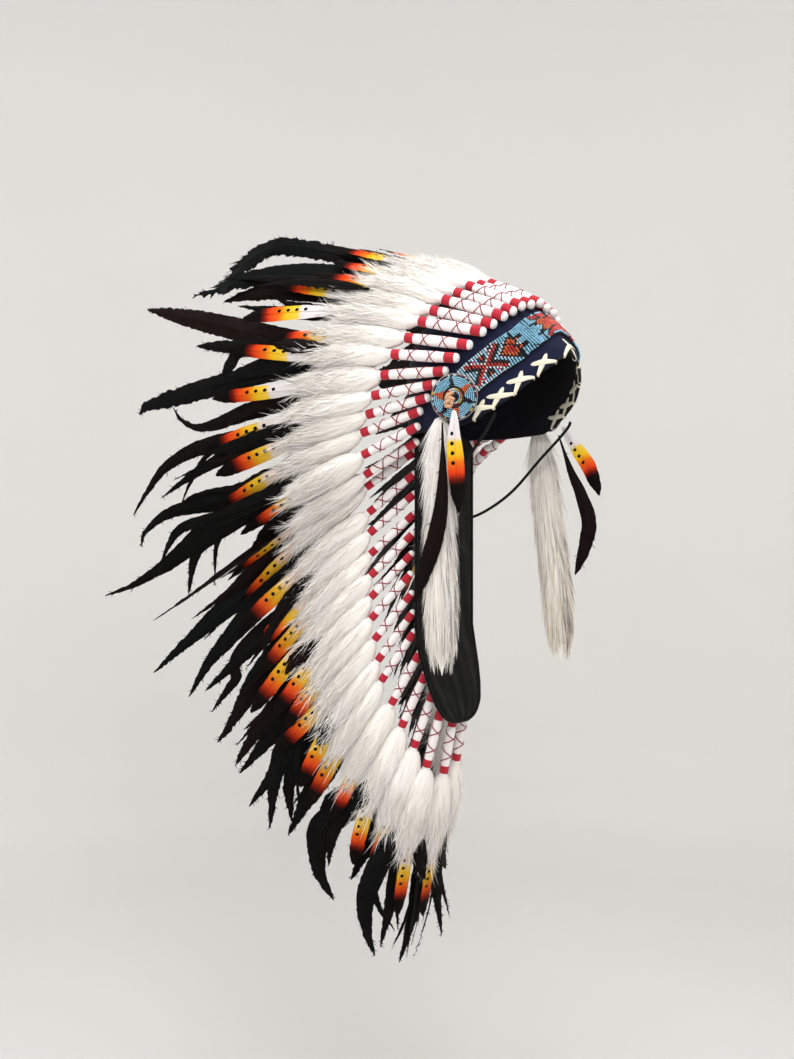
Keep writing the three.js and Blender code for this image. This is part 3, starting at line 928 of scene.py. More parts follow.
def rosette(side):
    """A disc of beads in rings, with its backing and its knot."""
    centre, out, across = rosette_axes()
    patches = Patches(side == "left")
    places, axes, normals, colours = [], [], [], []
    for ring in range(ROSETTE_RINGS):
        radius = ROSETTE_RADIUS - 1.6 - ring * RING_STEP
        count = max(4, int(2 * math.pi * radius / RING_BEAD_STEP))
        height = 3.1 + 1.2 * (1 - (radius / ROSETTE_RADIUS) ** 2)
        for k in range(count):
            angle = 2 * math.pi * (k + 0.37 * ring) / count
            radial = across * math.sin(angle) + UP * math.cos(angle)
            places.append(centre + radial * radius + out * height)
            axes.append(across * math.cos(angle) - UP * math.sin(angle))
            normals.append(out)
            colours.append(BEAD_COLOURS[rosette_colour(ring, math.degrees(angle), radius)])
    patches.add(*bead(*map(np.array, (places, axes, normals, colours)), 0.93, 1.8))
    patches.build(f"rosette_beads_{side}", MATERIALS["beads"], f"rosette_{side}")
    rosette_backing(side)
    rosette_knot(side)


# The folds of the leather knot: [across, up, degrees, length, radius].
KNOT_FOLDS = (
    (-3.5, 3.5, 35, 9, 2.4), (-7.5, 0.5, 70, 9, 2.3), (-3, -1.5, -20, 9, 2.5), (-6.5, -5, 30, 10, 2.7),
    (-2, -7, 75, 8, 2.1), (-6.5, -10.5, -15, 8, 2.4),
)
# A fold's thickness along it, as a share of its radius, and its bow out of the rosette.
KNOT_PROFILE = np.array([0.35, 0.8, 1, 0.95, 1.05, 0.95, 1, 0.75, 0.3])
KNOT_BOW = np.array([-1.2, 0.6, 1.2, 0.6, -1.2])[:, None]


def rosette_backing(side):
    """The black disc under the beads, and the pale leather round its edge."""
    centre, out, across = rosette_axes()
    turn = turns(65)
    radial = across * np.sin(turn)[:, None] + UP * np.cos(turn)[:, None]
    profile = [(0, 0), (26.2, 0), (26.5, 0.6), (26.5, 1.6), (26, 2.1), (24, 2.4), (0, 3.4)]
    points = np.array([centre + radial * r + out * h for r, h in profile])
    uv = columns_of(np.arange(7)[:, None] * 5.0, turn[None])
    backing = Patches(side == "left")
    backing.add(points, uv)
    backing.build(f"rosette_backing_{side}", MATERIALS["lining"])
    edge = Patches(side == "left")
    edge.tube(points[2] + out * 0.9, 0.75, 6, out)
    edge.build(f"rosette_edge_{side}", MATERIALS["backing"])


def rosette_knot(side):
    """The folded leather knot near the rosette's middle."""
    centre, out, across = rosette_axes()
    knot = Patches(side == "left")
    for x, z, degrees, length, width in KNOT_FOLDS:
        turn = math.radians(degrees)
        along = across * math.cos(turn) + UP * math.sin(turn)
        middle = centre + across * x + UP * z + out * 5.2
        straight = middle + along * (np.linspace(-0.5, 0.5, 5)[:, None] * length)
        line = smooth_line(straight + out * KNOT_BOW, 9)
        knot.tube(line, width * KNOT_PROFILE, 9, out)
    knot.build(f"rosette_knot_{side}", MATERIALS["knot"])


for side in SIDES:
    rosette(side)


# ---------------------------------------------------------------- feathers of the row

# The side of a feather that faces forward and outward.
FACE = np.array([-0.77, -0.64, 0.0])


class Feather:
    """The line of one feather of the row, and the directions across it."""

    def __init__(self, number):
        self.number = number
        x, y, z, dx, dy, dz = look(ROW, number)
        self.root = np.array([x, y, z])
        self.along = unit([dx, dy, dz])
        self.tube, self.radius = look(TUBE, number)
        self.length, self.fall = look(PLUME, number)
        self.length += -9 if number % 2 else 9
        self.down_end = self.tube + DOWN_LENGTH

    def at(self, s):
        s = np.asarray(s, float)[..., None]
        return self.root + self.along * s - UP * self.fall * (s / self.length) ** 2

    def turn(self):
        """Works out the directions along the row (u) and out of it (n)."""
        before, after = Feather(max(0, self.number - 1)), Feather(min(LAST, self.number + 1))
        u = np.array([-1.0, 0, 0]) if self.number in (0, LAST) else after.root - before.root
        self.u = unit(u - self.along * (u @ self.along))
        n = np.cross(self.along, self.u)
        self.n = n if n @ FACE > 0 else -n
        self.gap = min(
            np.linalg.norm(other.at(138) - self.at(138))
            for other in (before, after) if other.number != self.number
        )
        return self

    def point(self, s, a, b=0.0):
        """A point at a distance along the feather, along the row and out of the row."""
        a, b = np.asarray(a, float)[..., None], np.asarray(b, float)[..., None]
        return self.at(s) + self.u * a + self.n * b


FEATHERS = [Feather(number).turn() for number in range(LAST + 1)]


def feathers(side):
    """The feathers of one side. The two on the middle line belong to the right side."""
    return FEATHERS if side == "right" else FEATHERS[1:-1]


def feather_nodes(side):
    """The CAD nodes of one side's feathers."""
    pairs = [f"feather_pair_{number:02d}_{side}" for number in range(1, 15)]
    return pairs + (["feather_front_centre", "feather_tail_centre"] if side == "right" else [])


# Felt tube, by share of its length: [share, radius as a share of the tube's].
TUBE_PROFILE = np.array([
    [0, 0.05], [0.003, 0.4], [0.012, 0.68], [0.028, 0.87], [0.05, 0.95], [0.075, 0.93], [0.19, 0.93],
    [0.21, 0.99], [0.3, 1.05], [0.45, 1.08], [0.6, 1.06], [0.78, 1.0], [0.82, 0.93], [0.93, 0.93],
    [0.95, 0.98], [0.985, 1.02], [1.0, 0.99], [1.003, 0.9], [0.99, 0.75],
])
TUBE_SIDES = 20
BAND_SHARES = ((0.062, 0.2), (0.812, 0.93))
BAND_RISE = 0.5
THREAD_TURNS = 2.28
THREAD_CROSSING = 0.3
THREAD_RADIUS = 0.75


def felt_tubes(side):
    """Each feather's felt tube, its two red bands and its crossed threads."""
    patches, bands, threads = (Patches(side == "left") for _ in range(3))
    for f in feathers(side):
        line = f.root + f.along * (TUBE_PROFILE[:, :1] * f.tube)
        radius = TUBE_PROFILE[:, 1] * f.radius
        patches.add(round_grid(f, line, radius), tube_uv(line, TUBE_SIDES))
        for low, high in BAND_SHARES:
            add_band(bands, f, low, high)
        for hand in (-1, 1):
            add_thread(threads, f, hand)
    patches.build(f"felt_tubes_{side}", MATERIALS["felt"])
    bands.build(f"red_bands_{side}", MATERIALS["red"])
    threads.build(f"red_threads_{side}", MATERIALS["thread"])


def round_grid(f, line, radius):
    """A round tube about a feather's straight line, its first column facing out of the row."""
    angle = turns(TUBE_SIDES + 1)[None, :, None]
    ring = np.cos(angle) * f.n + np.sin(angle) * f.u
    return line[:, None] + ring * np.asarray(radius)[:, None, None]


def tube_radius(f, share):
    return look(TUBE_PROFILE[:-1], share)[0] * f.radius


def add_band(bands, f, low, high):
    """A sleeve of red wool round a tube, with rounded edges."""
    share = low + (high - low) * np.array([0, 0, 0.06, 0.3, 0.7, 0.94, 1, 1])
    rise = np.array([-0.3, 0.3, 0.9, 1, 1, 0.9, 0.3, -0.3]) * BAND_RISE
    line = f.root + f.along * (share[:, None] * f.tube)
    bands.add(round_grid(f, line, f.radius * 0.93 + rise), tube_uv(line, TUBE_SIDES))


def add_thread(threads, f, hand):
    """One of two threads that wind opposite ways and cross on the side that faces out."""
    t = np.linspace(0, 1, 49)
    share = BAND_SHARES[0][1] + (BAND_SHARES[1][0] - BAND_SHARES[0][1]) * t
    angle = hand * 2 * math.pi * THREAD_TURNS * (t - THREAD_CROSSING) + 0.12 * waves(t * 5, f.number)
    ring = np.cos(angle)[:, None] * f.n + np.sin(angle)[:, None] * f.u
    line = f.root + f.along * (share[:, None] * f.tube) + ring * (tube_radius(f, share)[:, None] + 0.2)
    threads.tube(line, THREAD_RADIUS, 4)


# Down, by share of its length: [share, half width and half thickness as shares of the largest].
DOWN_PROFILE = np.array([
    [-0.035, 0.1, 0.2], [-0.02, 0.42, 0.45], [0.03, 0.62, 0.62], [0.1, 0.78, 0.76], [0.2, 0.92, 0.9],
    [0.35, 1.0, 1.0], [0.5, 1.0, 0.95], [0.65, 0.93, 0.8], [0.8, 0.8, 0.6], [0.92, 0.6, 0.4],
    [1.02, 0.3, 0.2], [1.06, 0.05, 0.05],
])
DOWN_THICKNESS = 13.5


def down_half_width(f):
    return min(18.0, f.gap * 0.56)


def down_surface(f, share, angle, lift=0.0):
    """Points of the down's surface: share of its length, and the turn about the feather."""
    wide, thick = look(DOWN_PROFILE, share)
    wide = wide * down_half_width(f)
    thick = thick * DOWN_THICKNESS
    ripple = 1 + 0.05 * waves(angle * 3, f.number) + 0.03 * waves(share * 9 + angle * 5, f.number + 50)
    s = f.tube + DOWN_LENGTH * share
    return f.point(s, (wide * ripple + lift) * np.sin(angle), (thick * ripple + lift) * np.cos(angle))


# Strands of one feather's down: [how many, first share from, to, length from, to, lift].
STRANDS = (
    (200, 0.0, 0.6, 0.3, 0.45, 2.2),
    (230, 0.3, 0.8, 0.25, 0.4, 4.5),
    (330, 0.58, 0.98, 0.12, 0.36, 5.5),
)


def down(side):
    """Each feather's down: a soft form with streaks and painted shade between them, and many fine strands
    over it and past its end.
    """
    core, strands = Patches(side == "left"), Patches(side == "left")
    share = np.concatenate([DOWN_PROFILE[:4, 0], np.linspace(0.14, 1.06, 15)])[:, None]
    angle = turns(25)[None]
    for f in feathers(side):
        points = down_surface(f, share + 0 * angle, angle + 0 * share)
        dark = np.clip((share - 0.95) * 2, 0, 0.3) + 0 * angle
        tone = np.stack([0.35 + 0.2 * waves(angle * 2 + share, f.number), dark, 0 * dark], axis=-1)
        core.add(points, columns_of(share, angle / 6.283), tone)
        for count, *reach, lift in STRANDS:
            add_strands(strands, f, count, reach, lift)
    nodes = feather_nodes(side)
    core.build(f"down_{side}", MATERIALS["down"], *nodes)
    strands.build(f"down_strands_{side}", MATERIALS["down"])


STRAND_SHAPE = np.array([0.5, 1, 0.7, 0.1])


def add_strands(patches, f, count, reach, lift):
    """Strands that follow the down's surface and leave it past its end."""
    rows = len(STRAND_SHAPE)
    t = np.linspace(0, 1, rows)[None]
    share = spread(reach[0], reach[1], (count, 1)) + spread(reach[2], reach[3], (count, 1)) * t
    angle = spread(0, 2 * math.pi, (count, 1)) + spread(-0.9, 0.9, (count, 1)) * t
    rise = lift * (0.2 + t ** 2 * spread(0.1, 1.8, (count, 1)))
    lines = down_surface(f, np.minimum(share, 1.0), angle, rise)
    past = np.maximum(share - 1.0, 0)[..., None] * DOWN_LENGTH
    fan = f.along + unit(rng.normal(size=(count, 1, 3))) * spread(0.05, 0.35, (count, 1, 1))
    curl = unit(rng.normal(size=(count, 1, 3))) * (t ** 2)[..., None] * spread(0, 3.5, (count, 1, 1))
    lines = lines + fan * past + curl
    width = spread(0.5, 1.05, (count, 1)) * STRAND_SHAPE
    grid = ribbons(lines, width, unit(rng.normal(size=(count, 3))))
    black = (spread(0, 1, (count, 1)) < 0.2) & (share[:, -1:] > 1.02)
    dark = np.where(black, np.clip((share - 0.95) * 5, 0, 1), 0) * spread(0.4, 1, (count, 1))
    random = np.broadcast_to(spread(0, 0.6, (count, 1)), dark.shape)
    tone = np.stack([random, dark, 0 * dark], axis=-1)[:, :, None]
    patches.add(grid, ribbon_uv(count, rows), np.broadcast_to(tone, grid.shape))


# ---------------------------------------------------------------- painted and black plumes

# Half width of a feather's vane by share of its length.
PAINTED_SHAPE = np.array([
    [0, 0.3], [0.1, 0.72], [0.25, 0.94], [0.5, 1.0], [0.7, 0.93], [0.82, 0.72], [0.92, 0.4], [1.0, 0.05],
])
BLACK_SHAPE = np.array([
    [0, 0.25], [0.08, 0.6], [0.2, 0.92], [0.42, 1.0], [0.6, 0.93], [0.76, 0.74], [0.88, 0.48], [0.96, 0.22],
    [1.0, 0.03],
])
DROP_SHAPE = np.array([
    [0, 0.25], [0.12, 0.6], [0.3, 0.92], [0.5, 1.0], [0.7, 0.86], [0.85, 0.52], [1.0, 0.08],
])
TAPERED_SHAPE = np.array([
    [0, 0.25], [0.08, 0.6], [0.2, 0.95], [0.34, 1.0], [0.5, 0.84], [0.66, 0.6], [0.8, 0.38], [0.92, 0.2],
    [1.0, 0.03],
])
HACKLE_SHAPE = np.array([[0, 0.5], [0.2, 0.9], [0.5, 1.0], [0.8, 0.8], [0.93, 0.45], [1.0, 0.1]])
# Distance between the rows of a vane, and places across it.
ROW_PITCH = 2.7
VANE_PLACES = np.array([-1, -0.72, -0.36, 0, 0.36, 0.72, 1])
QUILL_LIFT = 0.3


def vane(patches, line, out, half, shape, ragged, tone, unit_uv=False):
    """A feather's web. Each row is a pair of barbs that rake towards the tip, and barbs part into locks."""
    rows = len(line)
    t = np.linspace(0, 1, rows)
    along = unit(np.gradient(line, axis=0))
    side = unit(np.cross(out, along))
    face = np.cross(along, side)
    wide = look(shape, t)[0] * half
    v = VANE_PLACES
    edge = np.stack([lock_edges(rows, ragged), lock_edges(rows, ragged)], axis=1)
    edge = 1 + (edge - 1) * (0.35 + 3 * t[:, None] ** 4)
    far = np.abs(v)[None]
    reach = wide[:, None] * far * (1 + (edge[:, (v > 0).astype(int)] - 1) * far ** 2)
    lean = reach * (0.75 + 0.7 * t[:, None])
    camber = -0.16 * reach * far + 0.5 * waves(t * 11, rows)[:, None] * v[None]
    points = (line[:, None] + side[:, None] * (reach * np.sign(v)[None])[..., None]
              + along[:, None] * lean[..., None] + face[:, None] * camber[..., None])
    if unit_uv:
        place = t[:, None] + lean / FEATHER_ASPECT / half / 2
    else:
        place = (t * steps_of(line).sum())[:, None]
    patches.add(points, columns_of(place, (v[None] + 1) / 2), tone)


def lock_edges(rows, ragged):
    """How far each row's barb reaches, as a share: locks have a sloping edge, with a step between them."""
    edges = []
    while len(edges) < rows:
        size = rng.integers(3, 9)
        edges.extend(1 + ragged * (np.linspace(0.4, -0.6, size) + rng.normal() * 0.3))
    return np.array(edges[:rows]) + ragged * 0.25 * rng.normal(size=rows)


def add_hairs(patches, line, out, half, shape, count, tone):
    """Loose barbs that stick out past the edge of a vane."""
    t = spread(0.01, 1.0, count) ** 0.6
    whole = np.linspace(0, 1, len(line))
    along = unit(np.gradient(line, axis=0))
    base = read(t, whole, line)
    way = unit(read(t, whole, along))
    side = unit(np.cross(out, way)) * np.sign(spread(-1, 1, (count, 1)))
    edge = look(shape, t)[0] * half
    reach = edge * spread(1.0, 1.4, count) + spread(1.5, 5, count)
    start = 0.6 * edge / reach
    s = (start[:, None] + (1 - start[:, None]) * np.array([0, 0.55, 1.0]))[..., None]
    reach = reach[:, None, None]
    bend = spread(0.4, 0.95, (count, 1, 1))
    heading = side[:, None] * np.sin(bend * (1.6 - 0.4 * s)) + way[:, None] * np.cos(bend)
    lines = base[:, None] + reach * s * heading + out * spread(-1.5, 1.5, (count, 1, 1)) * s
    grid = ribbons(lines, np.array([1.0, 0.8, 0.1]), np.cross(side, out) + 0 * side)
    patches.add(grid, ribbon_uv(count, 3), tone)


def black_feather(patches, line, out, half, cast, ragged, hairs, shape):
    """A black feather: its web, loose barbs at the edges, and a thin quill."""
    line = smooth_line(line, int(steps_of(line).sum() / ROW_PITCH))
    vane(patches, line, out, half, shape, ragged, (cast, 0, 0))
    add_hairs(patches, line, out, half, shape, hairs, (cast, 0, 0))
    stem = line[::3]
    quill = tube_grid(stem + out * QUILL_LIFT, 0.7 * np.linspace(1, 0.15, len(stem)), 4)
    patches.add(quill, tube_uv(stem, 4), (cast, 0.02, 0))


# Painted feather: [number, length].
PAINTED_LENGTH = np.array([[0, 128], [8, 132], [14, 124], [20, 112], [29, 104]])
# Where each painted feather's orange ends on the wearer's right: [feather, from the root, down the row].
ORANGE_END = np.array([
    [0, 250, 0], [1, 232, 4], [2, 264, 0], [3, 236, 0], [4, 230, 3], [5, 270, -11], [6, 285, 10],
    [7, 232, 8], [8, 274, -9], [9, 277, -4],
    [10, 280, 7], [11, 262, 1], [12, 267, 8], [13, 230, 0], [14, 262, -3], [15, 266, 14], [16, 255, -3],
    [17, 243, 9], [18, 248, 11], [19, 265, 7], [20, 234, 7], [21, 216, 2], [22, 230, -10], [23, 229, 6],
    [24, 228, 9], [25, 214, 4], [26, 231, 10], [27, 216, 0], [28, 241, 9], [29, 240, -4],
])
BLACK_TIP = 0.25  # the black share at a painted feather's tip


def painted_feather(patches, line, out, half, warm, shift, shape=PAINTED_SHAPE):
    """A painted feather: its web, and its quill in the same paint."""
    line = smooth_line(line, int(steps_of(line).sum() / ROW_PITCH))
    vane(patches, line, out, half, shape, 0.05, (0.5, warm, shift), True)
    stem = line[::3] + out * QUILL_LIFT
    uv = columns_of(np.linspace(0, 1, len(stem))[:, None], np.full((1, 5), 0.5))
    patches.add(tube_grid(stem, 0.6 * np.linspace(1, 0.2, len(stem)), 4), uv, (0.5, warm, shift))


def painted(side):
    """The painted feather that lies on each feather of the row."""
    mirrored = side == "left"
    patches = Patches(mirrored)
    for f in feathers(side):
        length = look(PAINTED_LENGTH, f.number)[0] + pick(-8, 8)
        end, offset = look(ORANGE_END, f.number)
        if mirrored:
            end, offset = end + pick(-10, 10), pick(-8, 8)
        tip = end + BLACK_TIP * length
        s = np.linspace(tip - length, tip, 26)
        a = offset * np.linspace(0, 1.15, 26) ** 1.5 + pick(-4, 4) * np.linspace(-1, 1, 26)
        line = f.point(s, a, 5.0 + 0 * s)
        warm = float(np.clip((f.number - 9) / 4, 0, 1)) * pick(0.3, 1)
        painted_feather(patches, line, f.n, pick(8.4, 10.2), warm, pick(-0.03, 0.03))
    patches.build(f"painted_feathers_{side}", MATERIALS["painted"])


# Black plumes that stand out of the row on the wearer's right: [feather, half width, cast, points].
# A point is (distance from the feather's root, distance down the row). Cast is 0 green to 1 brown.
PLUMES = (
    (2, 13, 0.6, ((170, 0), (260, 0), (320, -8), (372, -14))),
    (3, 16, 0.2, (
        (210, -20), (272, -38), (345, -44), (390, -36), (400, 9), (388, 45), (380, 87), (399, 112),
    )),
    (3, 19, 0.0, ((160, 5), (236, 8), (302, 22), (350, 48), (372, 76), (360, 100))),
    (5, 13, 0.8, ((160, -10), (260, -12), (330, -5), (372, 12))),
    (7, 15, 1.0, ((160, 11), (230, 5), (300, -8), (391, -31), (464, -50))),
    (8, 10, 0.5, ((180, -6), (276, -14), (357, -22))),
    (8, 9, 0.3, ((240, -8), (285, -12), (302, -2), (312, 17), (310, 30))),
    (8, 14, 0.3, ((160, 6), (240, 16), (297, 26), (387, 41), (422, 48), (434, 56))),
    (9, 12, 0.7, ((165, 8), (265, 18), (334, 26), (363, 12), (375, -8))),
    (10, 12, 0.6, ((165, 14), (260, 9), (327, 3), (376, 10), (412, 30), (443, 54))),
    (11, 10, 0.2, ((165, -8), (264, -13), (330, -8), (381, 1))),
    (12, 14, 0.3, ((160, 10), (274, 5), (356, -14), (400, -10), (417, 4))),
    (13, 12, 0.3, ((170, -12), (261, -23), (320, -46), (368, -26))),
    (13, 14, 0.4, ((160, 0), (240, -12), (296, -23), (344, -20), (381, -19), (420, -24), (450, -36))),
    (13, 10, 0.2, ((210, -8), (294, -11), (331, -3), (376, 39))),
    (15, 16, 0.9, ((155, 0), (240, 4), (300, 8), (360, 14))),
    (16, 15, 0.1, ((158, -8), (258, -30), (326, -36), (404, -39))),
    (16, 15, 0.2, ((160, -4), (246, -8), (339, 0), (389, 14))),
    (17, 13, 0.3, ((160, 2), (270, 0), (355, -2))),
    (17, 13, 0.6, ((170, 3), (288, -4), (319, 13), (365, 22))),
    (19, 17, 0.7, ((155, -5), (230, -9), (279, -12), (327, -3), (353, 0))),
    (20, 16, 0.8, ((150, 0), (230, 3), (290, 2), (340, 10))),
    (21, 15, 0.5, ((150, 0), (240, -4), (326, -6))),
    (21, 16, 0.3, ((155, 5), (226, 12), (290, 27), (349, 66))),
    (22, 15, 0.4, ((145, 0), (250, 2), (333, 1))),
    (23, 15, 0.5, ((140, 0), (197, -2), (258, -4), (300, 26))),
    (24, 15, 0.4, ((145, 3), (230, 2), (300, 6))),
    (26, 18, 0.4, ((140, -4), (200, -24), (238, -38), (282, -23), (311, 10))),
    (27, 13, 0.2, ((135, -5), (210, -12), (263, -19))),
    (28, 15, 0.2, ((140, -10), (238, -34), (290, -24), (328, -2))),
    (28, 13, 0.5, ((135, 0), (251, 3), (316, 3))),
    (29, 13, 0.3, ((145, 0), (240, -2), (286, 3), (331, 13))),
    (29, 1.4, 0.4, ((190, -15), (250, -28), (300, -21), (333, -12))),
    (29, 9, 0.3, ((150, -20), (227, -33), (314, -67))),
)

# The plumes with blunt, frizzy ends, by feather and half width: how ragged and how hairy each is.
FRIZZY = {(3, 16): (0.35, 110), (8, 14): (0.1, 60)}
SMOOTH = (0.09, 32)
# From this feather on, plumes taper to long thin tips, and each has a narrow one beside it.
TAPERED_FROM = 9
# The plain plumes of each feather: [depth under the painted one, shares of the feather's length that the
# tip lies between, start past the felt tube].
LAYERS = ((-2.0, 0.64, 0.8, 84), (-5.0, 0.78, 0.94, 92))
ABOVE = 7.5
PLUME_DEPTH = -7.5
TWIN_DEPTH = -9
WISP = 5  # a plume under this half width has no narrow one beside it


def black_plumes(side):
    """The black plumes of one side: the plain ones, and those that stand out of the row."""
    patches = Patches(side == "left")
    charted = {row[0] for row in PLUMES}
    for f in feathers(side):
        for layer in LAYERS[:1] if f.number in charted and side == "right" else LAYERS:
            plain_plume(patches, f, *layer)
    for row in PLUMES:
        charted_plume(patches, *row)
    patches.build(f"black_plumes_{side}", MATERIALS["black"])


def plain_plume(patches, f, depth, low, high, start):
    """A plume along a feather. The first layer's lie above the painted feathers on every third feather."""
    t = np.linspace(0, 1, 6)
    s = np.linspace(f.tube + start, f.length * pick(low, high), 6)
    above = depth == LAYERS[0][0] and f.number % 3 == 1
    depth = ABOVE if above else depth
    a = 0.5 * f.gap * above + pick(-5, 5) + pick(-20, 24) * t ** 2 + pick(-12, 16) * t ** 4
    line = f.point(s, a, depth + pick(-8, 2) * t ** 3)
    cast = pick(0, 1)
    black_feather(patches, line, f.n, pick(9, 13), cast, 0.12, 14, TAPERED_SHAPE)


def charted_plume(patches, number, half, cast, points):
    """A plume of the chart, changed at random on the wearer's left, and the narrow one beside it."""
    f = FEATHERS[number]
    s, a = np.array(points, float).T
    if patches.mirrored:
        s = s * pick(0.86, 0.99)
        a = a * pick(-1, 0.6)
    line = f.point(s, a, PLUME_DEPTH + pick(-2, 2) + 0 * s)
    out = unit(f.n + FACE - f.along * (FACE @ f.along))
    shape = TAPERED_SHAPE if number >= TAPERED_FROM else BLACK_SHAPE
    shape = HACKLE_SHAPE if (number, half) in FRIZZY else shape
    black_feather(patches, line, out, half, cast, *FRIZZY.get((number, half), SMOOTH), shape)
    if number >= TAPERED_FROM and half > WISP:
        share = np.linspace(0, 1, len(s))
        aside = a + pick(10, 24) * rng.choice((-1, 1)) * share ** 2
        line = f.point(s * pick(0.82, 0.96), aside, TWIN_DEPTH + pick(-2, 2) * share)
        black_feather(patches, line, out, half * 0.5, cast, 0.16, 16, shape)


for side in SIDES:
    felt_tubes(side)
    down(side)
    painted(side)
    black_plumes(side)


# ---------------------------------------------------------------- trail

def trail_point(x, z):
    y, half = (np.interp(-z, -TRAIL[:, 0], TRAIL[:, k]) for k in (1, 2))
    fade = np.clip((z - BULGE_TO) / (BULGE_FROM - BULGE_TO), 0, 1)
    bulge = TRAIL_BULGE * fade ** 2 * np.maximum(0, 1 - (x * half / BULGE_HALF_WIDTH) ** 2) ** 2
    return columns_of(x * half, y + bulge, z)


def trail():
    """The leather trail: two faces with soft folds, which meet at its edges and ends."""
    x = np.linspace(-1, 1, 61)[None]
    z = np.linspace(TRAIL[0, 0], TRAIL[-1, 0], 120)[:, None]
    ends = np.sqrt(1 - np.linspace(-1, 1, 120)[:, None] ** 40)
    folds = 0.9 * waves(x * 4 + z * 0.012, 11) + 0.7 * waves(z * 0.05 + x * 1.5, 12)
    middle = trail_point(x, z)
    patches = Patches()
    uv = columns_of(x * 57, z)
    for sign in (-1, 1):
        thick = sign * TRAIL_THICKNESS / 2 * np.sqrt(np.maximum(0, 1 - x ** 8)) + 0.6 * folds * (1 - x ** 6)
        face = middle + np.array([0, 1.0, 0]) * (thick * ends)[..., None]
        patches.add(face[:, ::sign], uv[:, ::sign])
    obj = patches.build("trail_leather", MATERIALS["leather"], "trail")
    close(obj)
    trail_edge()


def close(obj):
    """Joins the points where the faces of a piece meet."""
    work = bmesh.new()
    work.from_mesh(obj.data)
    bmesh.ops.remove_doubles(work, verts=work.verts, dist=0.01 * MM)
    work.to_mesh(obj.data)
    work.free()


def trail_edge():
    """A narrow binding sewn round the trail's sides and foot."""
    z = np.linspace(-40, -394, 90)
    right = trail_point(np.full(z.shape, 0.985), z)
    left = trail_point(np.full(z.shape, -0.985), z)[::-1]
    foot = trail_point(np.linspace(0.9, -0.9, 15), np.full(15, -394.6))
    line = smooth_line(np.concatenate([right, foot, left]), 260)
    patches = Patches()
    patches.tube(line, 2.0, 8, np.array([0, 1.0, 0]))
    obj = patches.build("trail_binding", MATERIALS["leather"])
    return obj


trail()


# ---------------------------------------------------------------- drops

def drop_axes(degrees):
    """The directions along a drop's flat face, and out of it."""
    turn = math.radians(degrees)
    return np.array([math.sin(turn), -math.cos(turn), 0]), np.array([math.cos(turn), math.sin(turn), 0])


# The core's share of the drop's thickness, how many strands lie over it, and a strand's width along it.
CORE_SHARE = 0.82
FUR_COUNT = 2600
FUR_SHAPE = np.array([0.6, 1, 0.9, 0.6, 0.08])
# How loose the strands are low down, and how much more so at the top.
LOOSE_LOW = 0.34
LOOSE_TOP = 0.5
# The share of dark strands on the edge that faces forward, and elsewhere.
DARK_FRONT = 0.26
DARK_REST = 0.04
CREAMY = {"right": 0.1, "left": 0.6}


def fur_drop(side):
    """A long strip of white fur: a soft core, and strands that hang over it and past its foot."""
    stations = np.array(FUR_DROP[side], float)
    wide, thick = drop_axes(30)
    line = smooth_line(stations, 40)
    t = np.linspace(0, 1, 40)
    core, strands = Patches(), Patches()
    angle = turns(25)
    ring = (line[:, None, 3:4] * wide * np.cos(angle)[None, :, None]
            + line[:, None, 4:5] * thick * np.sin(angle)[None, :, None])
    ring = ring * (CORE_SHARE * np.clip((1.03 - t) / 0.12, 0, 1))[:, None, None]
    uv = columns_of(t[:, None] * 3, angle[None] / 6.283)
    core.add(line[:, None, :3] + ring, uv, (0.4, 0, 0))
    core.build(f"fur_core_{side}", MATERIALS["down"], f"fur_drop_{side}")
    one = (FUR_COUNT, 1)
    rows = len(FUR_SHAPE)
    way = np.linspace(0, 1, rows)[None]
    first = spread(-0.02, 0.86, one)
    share = np.clip(first + spread(0.12, 0.22, one) * way, 0, spread(0.9, 1, one))
    place = read(share, t, line)
    place[..., 3:] += 0.6 * np.maximum(0, place[:, :1, 3:] - place[..., 3:])
    a = spread(0, 2 * math.pi, one) + spread(-0.2, 0.2, one) * way
    loose = LOOSE_LOW + LOOSE_TOP * np.clip(1 - 4 * first, 0, 1)
    lift = 0.8 + way ** 2 * spread(0.02, 1, one) * loose
    lines = place[..., :3] + wide * (place[..., 3] * np.cos(a) * lift)[..., None] \
        + thick * (place[..., 4] * np.sin(a) * lift)[..., None]
    width = spread(0.5, 1.0, one) * FUR_SHAPE
    grid = ribbons(lines, width, unit(rng.normal(size=(FUR_COUNT, 3))))
    front = (np.cos(a[:, :1]) > 0.1) & (first > 0.3)
    dark = (spread(0, 1, one) < np.where(front, DARK_FRONT, DARK_REST)) * np.linspace(0.2, 1, rows)[None]
    creamy = CREAMY[side]
    random = np.broadcast_to(spread(creamy, creamy + 0.8, one) * np.clip(first + 0.3, 0, 1), dark.shape)
    tone = np.stack([random, dark, 0 * dark], axis=-1)[:, :, None]
    strands.add(grid, ribbon_uv(FUR_COUNT, rows), np.broadcast_to(tone, grid.shape))
    strands.build(f"fur_strands_{side}", MATERIALS["down"])


def drop_feathers(side):
    """The black and the painted feather that hang at a temple."""
    out = -drop_axes(DROP_TURN)[1]
    black = Patches()
    line = smooth_line(BLACK_DROP[side], 44)[:, :3]
    black_feather(black, line, out, DROP_HALF, 0.85, 0.05, 14, BLACK_DROP_SHAPE)
    obj = black.build(f"black_drop_{side}", MATERIALS["black"], f"black_drop_feather_{side}")
    painted = Patches()
    line = smooth_line(PAINTED_DROP[side], 26)[:, :3]
    painted_feather(painted, line, out, DROP_HALF, 0.0, 0.08, DROP_SHAPE)
    obj = painted.build(f"painted_drop_{side}", MATERIALS["painted"], f"painted_drop_feather_{side}")


for side in SIDES:
    fur_drop(side)
    drop_feathers(side)


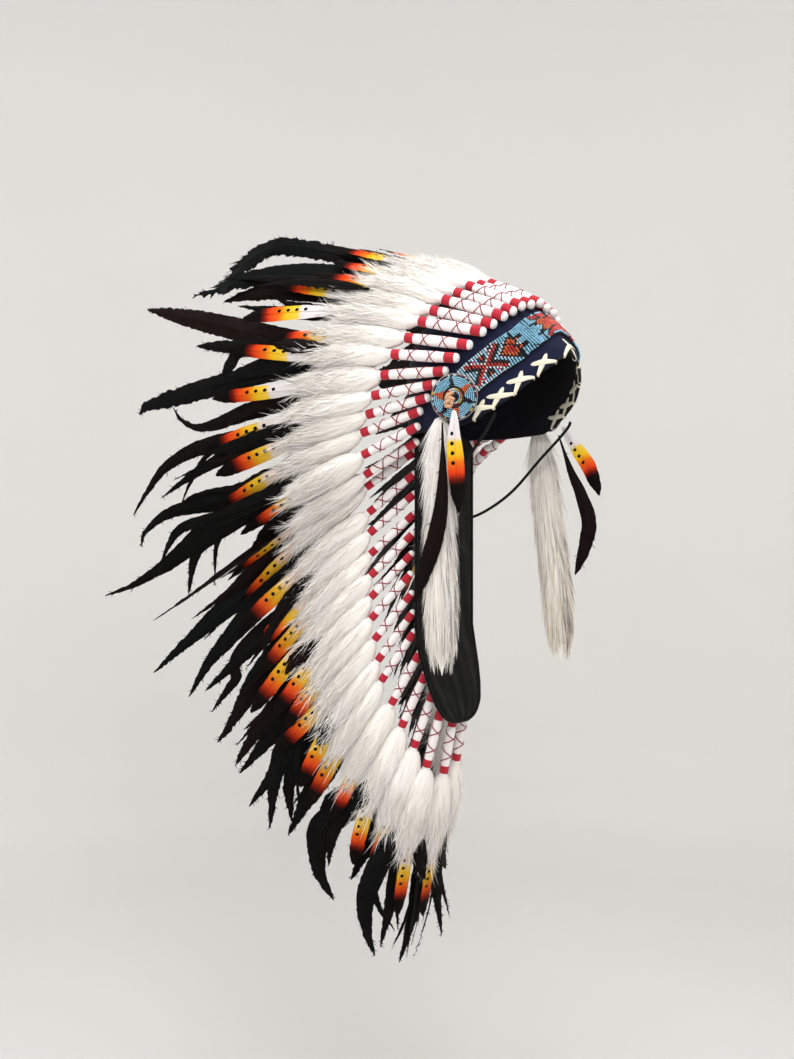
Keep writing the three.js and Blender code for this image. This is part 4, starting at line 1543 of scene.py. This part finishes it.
# ---------------------------------------------------------------- stage

def backdrop():
    """A pale floor that curves up into a wall all round, far outside the object."""
    radius = np.array([0.001, 800, 1500, 1900, 2150, 2280, 2320, 2330, 2330])
    height = np.array([-1100, -1100, -1100, -1090, -1040, -930, -780, -300, 2600])
    angle = turns(97)
    points = columns_of(radius[:, None] * np.cos(angle), radius[:, None] * np.sin(angle), height[:, None])
    paint = Paint("studio_paper", (0.78, 0.775, 0.76), 0.95)
    mottle = paint.noise(paint.place((1, 1, 1)), 1.2)
    paint.colour(paint.mix(mottle, (0.8, 0.795, 0.785), (0.76, 0.75, 0.73)))
    patches = Patches()
    patches.add(points, np.zeros(points.shape[:-1] + (2,)))
    patches.build("studio_floor", paint.material)


# Lights, in metres: [name, place, size, power, colour]. They point at LIT.
LIGHTS = (
    ("top_light", (-0.5, -0.4, 1.9), 1.4, 36, (1, 1, 1)),
    ("front_light", (-1.7, -1.5, 0.9), 1.1, 40, (1, 0.985, 0.97)),
    ("side_light", (-1.6, 1.1, 0.5), 1.0, 7, (1, 1, 1)),
)
LIT = (0, 0.1, -0.1)
WORLD_COLOUR = (1.0, 0.975, 0.95, 1)
WORLD_STRENGTH = 0.38


def area_light(name, place, size, power, colour):
    data = bpy.data.lights.new(name, "AREA")
    data.shape = "DISK"
    data.size = size
    data.energy = power
    data.color = colour
    light = bpy.data.objects.new(name, data)
    light.location = place
    way = np.array(LIT) - np.array(place)
    yaw = math.atan2(way[1], way[0]) - math.pi / 2
    pitch = math.atan2(way[2], math.hypot(way[0], way[1])) + math.pi / 2
    light.rotation_euler = (pitch, 0, yaw)
    bpy.context.scene.collection.objects.link(light)


def lights():
    for row in LIGHTS:
        area_light(*row)
    world = bpy.data.worlds.new("studio")
    world.use_nodes = True
    background = world.node_tree.nodes["Background"]
    background.inputs["Color"].default_value = WORLD_COLOUR
    background.inputs["Strength"].default_value = WORLD_STRENGTH
    bpy.context.scene.world = world
    bpy.context.scene.view_settings.view_transform = "Standard"


backdrop()
lights()
